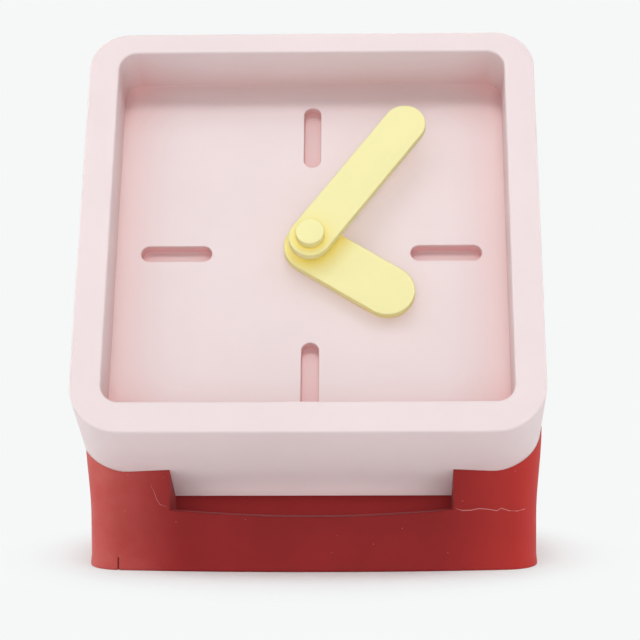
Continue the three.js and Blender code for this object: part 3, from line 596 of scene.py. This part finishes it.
def metal(name, shade, spread, roughness, stretch):
    """A bare metal with fine lines from its making, 0.2 mm wide and drawn at 0.4 mm so that they show."""
    made, tree, where = start_material(name)
    if not tree:
        return made
    lined = add(tree, "ShaderNodeMapping", {"Scale": stretch}, where)
    drawn = {"Scale": per(0.4), "Detail": 3, "Roughness": 0.6}
    lines = add(tree, "ShaderNodeTexNoise", drawn, {"Vector": lined})
    shades = {"data_type": "RGBA", 6: tone(shade, 1 - spread), 7: tone(shade, 1 + spread / 2)}
    tint = add(tree, "ShaderNodeMix", shades, {0: lines})
    limits = {"To Min": roughness - 0.07, "To Max": roughness + 0.1}
    dull = add(tree, "ShaderNodeMapRange", limits, {"Value": lines})
    finish_material(tree, {"Metallic": 1.0}, {"Base Color": tint, "Roughness": dull})
    return made


def plated_steel():
    # Zinc-plated steel: grey with a soft drawn grain
    shade = bpy.context.scene.clock_colours.steel
    return metal("steel_zinc_plated", shade, spread=0.15, roughness=0.36, stretch=(1, 0.15, 1))


def turned_brass():
    # Brass from a lathe: warm, with fine turning marks
    shade = bpy.context.scene.clock_colours.brass
    return metal("brass_turned", shade, spread=0.12, roughness=0.3, stretch=(1, 1, 0.2))


def banded(name, dark, light, spacing, direction, metallic, roughness):
    """Fine even bands across a piece, such as turns of wire or printed tracks, spaced in millimetres."""
    made, tree, where = start_material(name)
    if not tree:
        return made
    # A wave of scale one repeats 20 times in 2 pi units
    scale = per(spacing) * math.pi / 10
    wave = {"bands_direction": direction, "Scale": scale, "Distortion": 0.4, "Detail": 1}
    bands = add(tree, "ShaderNodeTexWave", wave, where).outputs["Fac"]
    tint = add(tree, "ShaderNodeMix", {"data_type": "RGBA", 6: dark, 7: light}, {0: bands})
    relief = add(tree, "ShaderNodeBump", {"Strength": 0.5, "Distance": 0.08 * MM}, {"Height": bands})
    settings = {"Metallic": metallic, "Roughness": roughness}
    finish_material(tree, settings, {"Base Color": tint, "Normal": relief})
    return made


def wound_copper():
    # Enamelled copper wire in close turns, drawn at 0.5 mm a turn so that they show
    shade = bpy.context.scene.clock_colours.copper
    return banded(
        "copper_enamelled",
        tone(shade, 0.55),
        tone(shade, 1),
        spacing=0.5,
        direction="X",
        metallic=0.9,
        roughness=0.32,
    )


def solder_mask():
    # Glass-fibre board under green lacquer: tracks 1.2 mm apart show through a shade lighter
    shade = bpy.context.scene.clock_colours.board
    return banded(
        "board_green_lacquer",
        tone(shade, 1),
        tone(shade, 1.35),
        spacing=1.2,
        direction="DIAGONAL",
        metallic=0.0,
        roughness=0.35,
    )


class CLOCK_OT_case(bpy.types.Operator):
    """Builds the case: walls, rim, dial recess and hour marks in one moulding"""

    bl_idname = "clock.case"
    bl_label = "Case"

    def execute(self, context):
        case, back = context.scene.clock_case, context.scene.clock_back
        side, high = case.width / 2, case.height / 2
        shell = case_outline()
        open_half = side - case.rim_side
        mouth = rounded(-open_half, case.rim_low - high, open_half, high - case.rim_top, case.mouth_corner)
        dial_back = case.recess + case.dial
        ledge = case.depth - back.cover - back.cover_gap
        soft, tight = quarter(case.edge), quarter(case.edge / 2)
        # From the hollow behind the dial, round the back edge and the rim, and down to the dial
        rings = [(shell, -case.wall, dial_back), (shell, -case.wall, ledge), (shell, -case.lip, ledge)]
        rings += [(shell, inset - case.lip, case.depth - drop) for inset, drop in reversed(tight)]
        rings += [(shell, -inset, case.depth - drop) for inset, drop in tight]
        rings += [(shell, -inset, drop) for inset, drop in reversed(soft)]
        rings += [(mouth, inset, drop) for inset, drop in soft]
        rings += [(mouth, -drop, case.recess - inset) for inset, drop in quarter(case.crease)]
        bm = bmesh.new()
        walls = skin(bm, [at_depth(outline(out), depth) for outline, out, depth in rings])

        straight = case.mark_length - case.mark_width
        floor = case.recess + case.mark_depth
        rounds = [(inset, case.recess + drop) for inset, drop in quarter(case.mark_edge)]
        rounds += [(-drop, floor - inset) for inset, drop in quarter(case.mark_edge)]
        marks = []
        for turn in range(4):
            groove = bar(straight, case.mark_width, turn * math.pi / 2, case.mark_centre - straight / 2)
            marks.append(skin(bm, [at_depth(groove(out), depth) for out, depth in rounds]))
            fill(bm, marks[-1][-1])
        hole = disc(case.bush)
        shaft = skin(bm, [at_depth(hole(), case.recess), at_depth(hole(), dial_back)])
        fill(bm, walls[-1], shaft[0], *[mark[0] for mark in marks])
        fill(bm, walls[0], shaft[-1])
        piece("case_shell", bm, [case_abs()], "case", ["front_case"], case_matrix())
        return {"FINISHED"}


class CLOCK_OT_hands(bpy.types.Operator):
    """Builds the two round-ended hands and the cap over their hub"""

    bl_idname = "clock.hands"
    bl_label = "Hands"

    def execute(self, context):
        hands = context.scene.clock_hands
        place, finish = case_matrix(), [hand_abs()]
        sizes = ("turn", "reach", "width", "bore", "front", "thick")
        for name in ("hour", "minute"):
            turn, reach, width, bore, front, thick = (getattr(hands, f"{name}_{size}") for size in sizes)
            hand = plate(bar(reach, width, turn), [disc(bore)], front, front + thick, hands.edge)
            piece(f"{name}_bar", hand, finish, name, [f"{name}_hand"], place)
        foot = hands.minute_front - hands.cap_gap
        cap = plate(disc(hands.cap_radius), [], foot - hands.cap_height, foot, hands.edge)
        piece("hub_cap", cap, finish, "minute", ["hand_cap"], place)
        return {"FINISHED"}


class CLOCK_OT_back(bpy.types.Operator):
    """Builds the rear cover, the battery door, the setting knob and the cover's screws"""

    bl_idname = "clock.back"
    bl_label = "Back"

    CROSS_TAPER = 0.8  # how wide the floor of a screw's cross slot is, as a share of its mouth

    def execute(self, context):
        case, back = context.scene.clock_case, context.scene.clock_back
        place, pink = case_matrix(), [case_abs()]
        knob_at = self.knob_place(place)
        x, y = case.width / 2 - back.screw_inset, case.height / 2 - back.screw_inset
        corners = [(x, y), (-x, y), (-x, -y), (x, -y)]
        cover = self.cover(case, back, knob_at, corners)
        piece("back_cover", cover, pink, "case", ["rear_cover"], place)
        door = self.door(case, back)
        piece("battery_lid", door, pink, "door", ["battery_door"], place)
        knob = self.knob(case, back, knob_at)
        piece("knob_grip", knob, [movement_styrene()], "motion", ["setting_knob"], place)
        for index, corner in enumerate(corners, 1):
            screw = self.screw(case, back, *corner)
            node = [f"cover_screw_{index}"]
            piece(f"screw_{index}", screw, [plated_steel()], "case", node, place)
        return {"FINISHED"}

    @staticmethod
    def knob_place(place):
        low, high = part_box("setting_knob")
        middle = place.inverted() @ ((low + high) / 2)
        return middle.x, middle.y

    @staticmethod
    def cover(case, back, knob_at, corners):
        shell, inset, gap = case_outline(), case.lip + back.cover_gap, back.door_gap
        doorway = rounded(
            -back.door_half - gap,
            back.door_low - back.barrel - gap,
            back.door_half + gap,
            back.door_high + gap,
            back.door_corner + gap,
            steps=6,
        )
        holes = [doorway, disc(back.knob + back.knob_gap, *knob_at)]
        holes += [disc(back.screw_head + back.screw_gap, *corner) for corner in corners]
        return plate(lambda out: shell(out - inset), holes, case.depth - back.cover, case.depth, back.edge)

    @staticmethod
    def door(case, back):
        far, end = case.depth, back.door_half
        outline = rounded(-end, back.door_low, end, back.door_high, back.door_corner, steps=6)
        panel = plate(outline, [], far - back.door, far, back.pin_edge)
        reach, soft = end + back.pin_length, back.pin_edge
        half = [(end, back.barrel), (end, back.pin), (reach - soft, back.pin), (reach, back.pin - soft)]
        profile = [(-x, radius) for x, radius in reversed(half)] + half
        parts = [rod(profile, back.door_low, far - back.barrel - back.barrel_sink)]
        for i in range(back.ridges):
            y = back.door_high - back.ridge_inset - back.ridge_step * i
            width = back.ridge_width / 2
            ridge = rounded(-back.ridge_half, y - width, back.ridge_half, y + width, width, steps=6)
            parts.append(plate(ridge, [], far - back.ridge_height, far + back.ridge_height, width / 2))
        return combine("UNION", panel, parts)

    @staticmethod
    def knob(case, back, knob_at):
        near, far = case.depth - back.cover, case.depth + back.knob_proud
        grip = fluted(back.knob, back.flute, back.flutes, *knob_at)
        bm = bmesh.new()
        rows = skin(bm, [at_depth(grip(-inset), depth) for inset, depth in softened(near, far, back.edge)])
        dish = disc(back.dish, *knob_at)
        hollow = [(drop, far - back.dish_depth + inset) for inset, drop in quarter(back.dish_depth)]
        dished = skin(bm, [at_depth(dish(-out), depth) for out, depth in reversed(hollow)])
        fill(bm, rows[0])
        fill(bm, rows[-1], dished[-1])
        fill(bm, dished[0])
        return bm

    def screw(self, case, back, x, y):
        far = case.depth - back.screw_sink
        under = far - back.screw_head_height
        tip = under - back.screw_reach
        head, shank = disc(back.screw_head, x, y), disc(back.screw_shank, x, y)
        profile = [(head, -inset, far - drop) for inset, drop in quarter(back.screw_head_height / 4)]
        profile += [(head, 0, under), (shank, 0, under)]
        profile += [(shank, 0, tip + back.screw_shank), (shank, -back.screw_shank / 2, tip)]
        bm = bmesh.new()
        rows = skin(bm, [at_depth(outline(out), depth) for outline, out, depth in profile])
        fill(bm, rows[-1])
        a, b = back.cross_reach, back.cross_half
        cross = [(b, b), (b, a), (-b, a), (-b, b), (-a, b), (-a, -b)]
        cross += [(-p, -q) for p, q in cross]
        sides = [(1, far), (self.CROSS_TAPER, far - back.cross_depth)]
        recess = skin(bm, [at_depth([(x + p * s, y + q * s) for p, q in cross], depth) for s, depth in sides])
        fill(bm, recess[-1])
        fill(bm, rows[0], recess[0])
        return bm


class CLOCK_OT_stand(bpy.types.Operator):
    """Builds the rubber stand: a swelling block with the case's slanted seat and the finger notch"""

    bl_idname = "clock.stand"
    bl_label = "Stand"

    REACH = 200 * MM  # how far cutting tools run out of the block
    OVERLAP = 0.01 * MM  # how far the mouth's tool runs into the pocket's
    UPRIGHT = Matrix.Rotation(math.pi / 2, 4, "X")  # stands an outline up, with depth towards the back
    SQUARE, THIN = 32, 115  # degrees that two faces turn by at an edge worth softening, and at a thin one
    STEPS, FLARE_STEPS = 12, 10  # along half of a swelling edge and round a corner, and up the flare
    # Hair lines of moulding flash on the front wall: millimetres across and up
    FLASH_LEFT = (
        (-34.27, 19.52), (-34.21, 18.44), (-33.57, 17.19),
        (-33.04, 15.57), (-32.33, 14.5), (-30.88, 13.97),
    )
    FLASH_RIGHT = (
        (31.4, 13.5), (32.7, 13.07), (34.49, 13.11), (36.28, 13.44),
        (38.07, 13.31), (40.22, 12.91), (41.12, 13.46), (42.74, 12.86),
        (44.55, 12.71), (46.03, 12.95), (47.0, 13.09),
    )

    def execute(self, context):
        case, stand = context.scene.clock_case, context.scene.clock_stand
        tools = [*self.seat(case, stand), *self.notch(case, stand), self.slit(stand)]
        bm = combine("DIFFERENCE", self.block(stand), tools)
        self.soften(bm, stand.edge)
        bm = combine("DIFFERENCE", bm, [self.beside(case)])
        piece("stand_block", bm, [stand_silicone()], "base", ["base"], sharp=50)
        self.flash(stand)
        return {"FINISHED"}

    def soften(self, bm, radius):
        """Rounds the edges, apart from the ears' thin tips and the edges that run into them."""
        turns = {edge: math.degrees(edge.calc_face_angle()) for edge in bm.edges}
        tips = {corner for edge, turn in turns.items() if turn > self.THIN for corner in edge.verts}
        square = []
        for edge, turn in turns.items():
            if self.SQUARE < turn <= self.THIN and not tips.intersection(edge.verts):
                square.append(edge)
        bmesh.ops.bevel(bm, geom=square, offset=radius, segments=2, profile=0.5, affect="EDGES")

    def plan(self, stand):
        """The stand's outline from above, and the place of its front wall at any x."""
        straight = stand.half - stand.corner
        slope = math.atan(2 * stand.bulge / straight)
        end_x = straight + stand.corner * math.sin(slope)
        end_y = stand.front + stand.bulge * (end_x / straight) ** 2
        front_corner = end_y + stand.corner * math.cos(slope)
        rear_corner = stand.front + stand.depth - stand.corner
        lean, start, steps = math.degrees(slope), face_place(), self.STEPS

        def front(x):
            x = abs(x - stand.shift)
            if x <= end_x:
                return stand.front + stand.bulge * (x / straight) ** 2 + start
            return front_corner - math.sqrt(max(stand.corner**2 - (x - straight) ** 2, 0)) + start

        def points(out=0):
            r = stand.corner + out
            ring = []
            for i in range(1, 2 * steps):
                x = end_x * (i / steps - 1)
                tilt = math.atan(2 * stand.bulge * x / straight**2)
                y = stand.front + stand.bulge * (x / straight) ** 2
                ring.append((x + out * math.sin(tilt), y - out * math.cos(tilt)))
            ring += arc(straight, front_corner, r, -90 + lean, 0, steps)
            ring += arc(straight, rear_corner, r, 0, 90, steps)
            ring += arc(-straight, rear_corner, r, 90, 180, steps)
            ring += arc(-straight, front_corner, r, 180, 270 - lean, steps)
            return [(x, y + start) for x, y in ring]

        return points, front

    def block(self, stand):
        points, _ = self.plan(stand)
        levels = [(stand.foot_lip - inset, drop) for inset, drop in quarter(stand.foot)]
        levels += [(stand.foot_lip, stand.foot_rise / 3), (0, stand.foot_rise)]
        rise = (stand.flare_high - stand.flare_low) / self.FLARE_STEPS
        levels += [(0, stand.flare_low + rise * i) for i in range(self.FLARE_STEPS + 1)] + [(0, stand.depth)]
        rings = []
        for out, z in levels:
            t = min(max((z - stand.flare_low) / (stand.flare_high - stand.flare_low), 0), 1)
            wide = 1 + stand.flare * t * t * (3 - 2 * t) / stand.half
            rings.append([Vector((x * wide + stand.shift, y, z)) for x, y in points(out)])
        return solid(bmesh.new(), rings)

    def seat(self, case, stand):
        """The leaning case's own room, and everything above the stand's reach up its back."""
        far, low = self.REACH, stand.support - case.height / 2
        place = case_matrix()
        return [
            prism(case_outline()(stand.seat_gap), -far, case.depth + stand.seat_gap, place),
            prism(rectangle(-far, low, far, far), -far, far, place),
        ]

    def beside(self, case):
        """The room beside the case above its lower corners, which the widening sides would reach into."""
        far, low = self.REACH, case.corner - case.height / 2
        return prism(rectangle(-far, low, far, far), -far, case.depth, case_matrix())

    def notch(self, case, stand):
        """The wide mouth over the front lip, and the pocket behind it."""
        left, right = stand.notch_shift - stand.notch_half, stand.notch_shift + stand.notch_half
        lip_back = stand.front + stand.notch_wall + face_place()
        pocket_back = case.depth * math.cos(case.tilt) + stand.undercut + face_place()
        top, floor = self.REACH, stand.notch_floor
        mouth = [(right, top), (left, top)]
        for i in range(2 * self.STEPS + 1):
            t = i / self.STEPS - 1
            lip = stand.notch_lip - stand.notch_dip * (1 - t * t)
            mouth.append((stand.notch_shift + stand.notch_half * t, lip))
        return [
            prism(mouth, -self.REACH, lip_back + self.OVERLAP, self.UPRIGHT),
            prism(rectangle(left, floor, right, top), lip_back, pocket_back, self.UPRIGHT),
        ]

    def slit(self, stand):
        _, front = self.plan(stand)
        half, wall = stand.slit_width / 2, front(stand.slit_at)
        outline = rectangle(stand.slit_at - half, -MM, stand.slit_at + half, stand.slit_height)
        return prism(outline, wall - MM, wall + stand.slit_depth, self.UPRIGHT)

    def flash(self, stand):
        """The hair lines of flash, half sunk into the front wall and thinner at their ends."""
        _, front = self.plan(stand)
        out = Vector((0, -1, 0))
        bm = bmesh.new()
        for line, radius in ((self.FLASH_LEFT, stand.flash / 2), (self.FLASH_RIGHT, stand.flash)):
            places = [Vector((x * MM, front(x * MM), z * MM)) for x, z in line]
            rings = []
            for i, p in enumerate(places):
                ahead = places[min(i + 1, len(places) - 1)] - places[max(i - 1, 0)]
                side = ahead.cross(out).normalized()
                thin = radius / 3 if i in (0, len(places) - 1) else radius
                rings.append([p + side * thin, p + out * thin, p - side * thin, p - out * thin])
            solid(bm, rings)
        piece("stand_flash", bm, [flash_silicone()], "base", [])


class CLOCK_OT_movement(bpy.types.Operator):
    """Finishes the movement's solids, and builds the battery with its film and bare ends"""

    bl_idname = "clock.movement"
    bl_label = "Movement"

    # The cell's can and its nub: radii, the nub's length, and the rounding of their edges
    CAN, NUB, NUB_LENGTH, CAN_EDGE, NUB_EDGE = 7 * MM, 2.7 * MM, 1.3 * MM, 0.5 * MM, 0.3 * MM

    def execute(self, context):
        finishes = {
            movement_styrene: ["movement_front", "movement_back", "chip"],
            gear_acetal: [
                "hour_wheel", "motion_wheel", "centre_wheel", "third_wheel", "seconds_wheel",
                "intermediate_wheel", "coil_bobbin",
            ],
            turned_brass: ["hand_bush", "cannon_pinion"],
            plated_steel: [
                "rotor", "stator", "coil_core", "quartz_crystal", "battery_contact_plus",
                "battery_contact_minus", "movement_screw_1", "movement_screw_2",
            ],
            wound_copper: ["coil_winding"],
            solder_mask: ["circuit_board"],
        }
        for make, nodes in finishes.items():
            for node in nodes:
                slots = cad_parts[node].data.materials
                slots.clear()
                slots.append(make())
        self.battery()
        return {"FINISHED"}

    def battery(self):
        """An AA cell: film round the can, and bare metal at both ends."""
        place = case_matrix()
        low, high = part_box("battery")
        middle = place.inverted() @ ((low + high) / 2)
        can, nub, rim, soft = self.CAN, self.NUB, self.CAN_EDGE, self.NUB_EDGE
        left, tip = low.x, high.x
        right = tip - self.NUB_LENGTH
        profile = [(left, can - 2 * rim), (left, can - rim), (left + rim, can)]
        profile += [(right - rim, can), (right, can - rim), (right, nub + soft)]
        profile += [(right + soft, nub), (tip - soft, nub), (tip, nub - soft)]
        bm = rod(profile, middle.y, -middle.z, steps=40)
        for face in bm.faces:
            across = face.calc_center_median().x
            face.material_index = 0 if left + soft < across < right + rim / 2 - soft else 1
        piece("battery_cell", bm, [cell_wrap(), plated_steel()], "case", ["battery"], place)


class CLOCK_OT_stage(bpy.types.Operator):
    """Sets up the pale floor and backdrop, the soft lights and the camera"""

    bl_idname = "clock.stage"
    bl_label = "Stage"

    # Softboxes: name, degrees round and up, metres across, watts
    LAMPS = (
        ("key", 0, 55, 0.2, 3.7),
        ("high", 0, 64, 0.5, 1.2),
        ("top", 0, 78, 0.5, 1.35),
        ("high_left", -58, 44, 0.8, 2.8),
        ("high_right", 58, 44, 0.8, 2.3),
        ("low_left", -102, 18, 0.7, 6.0),
        ("low_right", 102, 18, 0.7, 5.1),
        ("front", 0, 5, 0.5, 3.8),
        ("rear", 180, 48, 0.5, 3.0),
    )
    LAMP_DISTANCE = 1.2
    LAMP_AIM = Vector((0, 0, 60 * MM))
    # The strip in the stand's pocket: height above its floor, share of its depth, and watts
    STRIP_RISE, STRIP_SHARE, STRIP_POWER = 1.5 * MM, 0.7, 0.0019
    ROOM = 0.11  # strength of the light from all round
    # Camera: how far round, up and rolled, what it looks at and from where, and its lens in pixels
    ROUND, UP, ROLL = math.radians(1.587), math.radians(3.656), math.radians(-0.33)
    AIM, DISTANCE = Vector((2.06, -9.99, 53.39)) * MM, 468.1 * MM
    SENSOR, FRAME_PIXELS, FOCAL_PIXELS = 36, 640, 2130.6
    # Floor: radii of its rings, how far the shadow reaches across and along, and its fade in shares of that
    RINGS, SHADOW, FADE = (0.1, 0.4, 1.6, 4.0), (0.054, 0.045), (0.6, 1.35)

    def execute(self, context):
        self.floor()
        self.world(context.scene)
        lamps = {}
        for name, azimuth, elevation, size, power in self.LAMPS:
            out = towards(math.radians(azimuth), math.radians(elevation))
            lamps[name] = self.lamp(name, self.LAMP_AIM + out * self.LAMP_DISTANCE, out, (size, size), power)
        self.pass_hands(lamps["key"])
        self.notch_lamp(context.scene)
        self.camera(context.scene)
        context.scene.view_settings.view_transform = "Standard"
        return {"FINISHED"}

    def floor(self):
        """Paper that keeps the shadow near the clock and fades to a plain pale ground further away."""
        bm = bmesh.new()
        rows = skin(bm, [[Vector((x, y, 0)) for x, y in disc(r)()] for r in self.RINGS])
        fill(bm, rows[0])
        made = loose("paper_floor", bm)
        # Matt paper: its 2 mm felt marks are barely lighter and darker than the sheet
        paper, tree, where = start_material("paper_matt_white")
        shade = bpy.context.scene.clock_colours.paper
        felt = add(tree, "ShaderNodeTexNoise", {"Scale": per(2), "Detail": 3}, where)
        shades = {"data_type": "RGBA", 6: tone(shade, 0.92), 7: tone(shade, 0.96)}
        tint = add(tree, "ShaderNodeMix", shades, {0: felt})
        seen = self.seen(tree)
        # The sheet throws back all its light, and shows a little less of it so that it doesn't clip
        shown = add(tree, "ShaderNodeMix", {"data_type": "RGBA", 7: tone(shade, 0.83)}, {0: seen, 6: tint})
        settings = {"Roughness": 0.9, "Specular IOR Level": 0.1}
        sheet = add(tree, "ShaderNodeBsdfPrincipled", settings, {"Base Color": shown})
        ground = add(tree, "ShaderNodeEmission", {"Color": tone(shade, 1), "Strength": 1.0})
        across, along = self.SHADOW
        spread = add(tree, "ShaderNodeMapping", {"Scale": (1 / across, 1 / along, 1)}, where)
        far = add(tree, "ShaderNodeVectorMath", {"operation": "LENGTH"}, {0: spread})
        start, end = self.FADE
        limits = {"interpolation_type": "SMOOTHSTEP", "From Min": start, "From Max": end}
        fade = add(tree, "ShaderNodeMapRange", limits, {"Value": far})
        fades = add(tree, "ShaderNodeMath", {"operation": "MULTIPLY"}, {0: fade, 1: seen})
        either = add(tree, "ShaderNodeMixShader", None, {0: fades, 1: sheet, 2: ground})
        add(tree, "ShaderNodeOutputMaterial", None, {"Surface": either})
        made.data.materials.append(paper)

    @staticmethod
    def seen(tree):
        """One where a ray comes from the camera, a shiny surface or through glass, and zero elsewhere."""
        rays = add(tree, "ShaderNodeLightPath").outputs
        seen = rays["Is Camera Ray"]
        for kind in ("Is Glossy Ray", "Is Transmission Ray"):
            seen = add(tree, "ShaderNodeMath", {"operation": "MAXIMUM"}, {0: seen, 1: rays[kind]})
        return seen

    def world(self, scene):
        scene.world = scene.world or bpy.data.worlds.new("studio")
        scene.world.use_nodes = True
        tree = scene.world.node_tree
        tree.nodes.clear()
        room = add(tree, "ShaderNodeBackground", {"Color": (1, 1, 1, 1), "Strength": self.ROOM})
        shade = tone(scene.clock_colours.paper, 1)
        ground = add(tree, "ShaderNodeBackground", {"Color": shade, "Strength": 1.0})
        either = add(tree, "ShaderNodeMixShader", None, {0: self.seen(tree), 1: room, 2: ground})
        add(tree, "ShaderNodeOutputWorld", None, {"Surface": either})

    def notch_lamp(self, scene):
        """A faint strip in the pocket, for the light that the rubber lets through to the case above it."""
        case, stand = scene.clock_case, scene.clock_stand
        back = face_place() + case.depth * math.cos(case.tilt)
        front = face_place() + stand.front + stand.notch_wall
        place = Vector((stand.notch_shift, (front + back) / 2, stand.notch_floor + self.STRIP_RISE))
        size = (2 * stand.notch_half - (back - front) / 2, (back - front) * self.STRIP_SHARE)
        self.lamp("notch", place, towards(0, case.tilt - math.pi / 2), size, self.STRIP_POWER)

    @staticmethod
    def lamp(name, place, out, size, power):
        """A softbox that shines against its outward direction and doesn't show itself."""
        data = bpy.data.lights.new(f"{name}_softbox", "AREA")
        data.shape = "RECTANGLE"
        data.size, data.size_y = size
        data.energy = power
        made = bpy.data.objects.new(data.name, data)
        made.location = place
        made.rotation_euler = out.to_track_quat("Z", "Y").to_euler()
        made.visible_camera = False
        bpy.context.scene.collection.objects.link(made)
        return made

    @staticmethod
    def pass_hands(lamp):
        """Lets a lamp's light past the hands, so that only the other lamps cast their shadows."""
        passed = bpy.data.collections.new("hands")
        for name in ("hour_bar", "minute_bar", "hub_cap"):
            passed.objects.link(bpy.data.objects[name])
        for member in passed.collection_objects:
            member.light_linking.link_state = "EXCLUDE"
        lamp.light_linking.blocker_collection = passed

    def camera(self, scene):
        back = towards(self.ROUND, self.UP)
        right = Vector((0, 0, 1)).cross(back).normalized()
        turn = Matrix((right, back.cross(right), back)).transposed().to_4x4()
        data = bpy.data.cameras.new("camera")
        data.sensor_width = self.SENSOR
        data.lens = self.SENSOR * self.FOCAL_PIXELS / self.FRAME_PIXELS
        made = bpy.data.objects.new("camera", data)
        made.matrix_world = (
            Matrix.Translation(self.AIM + back * self.DISTANCE) @ turn @ Matrix.Rotation(self.ROLL, 4, "Z")
        )
        scene.collection.objects.link(made)
        scene.camera = made


OPERATORS = (CLOCK_OT_case, CLOCK_OT_hands, CLOCK_OT_back, CLOCK_OT_stand, CLOCK_OT_movement, CLOCK_OT_stage)


class CLOCK_PT_panel(bpy.types.Panel):
    bl_idname = "CLOCK_PT_panel"
    bl_label = "Desk Clock"
    bl_space_type = "VIEW_3D"
    bl_region_type = "UI"
    bl_category = "Desk Clock"

    def draw(self, context):
        for operator in OPERATORS:
            self.layout.operator(operator.bl_idname)
        for name, group in GROUPS.items():
            box = self.layout.box()
            for key in group.__annotations__:
                box.prop(getattr(context.scene, name), key)


CLASSES = (*GROUPS.values(), *OPERATORS, CLOCK_PT_panel)


def register():
    for kind in CLASSES:
        bpy.utils.register_class(kind)
    for name, group in GROUPS.items():
        setattr(bpy.types.Scene, name, PointerProperty(type=group))


def unregister():
    for name in GROUPS:
        delattr(bpy.types.Scene, name)
    for kind in reversed(CLASSES):
        bpy.utils.unregister_class(kind)


def main():
    register()
    bpy.ops.clock.case()
    bpy.ops.clock.hands()
    bpy.ops.clock.back()
    bpy.ops.clock.stand()
    bpy.ops.clock.movement()
    bpy.ops.clock.stage()


if __name__ == "__main__":
    main()
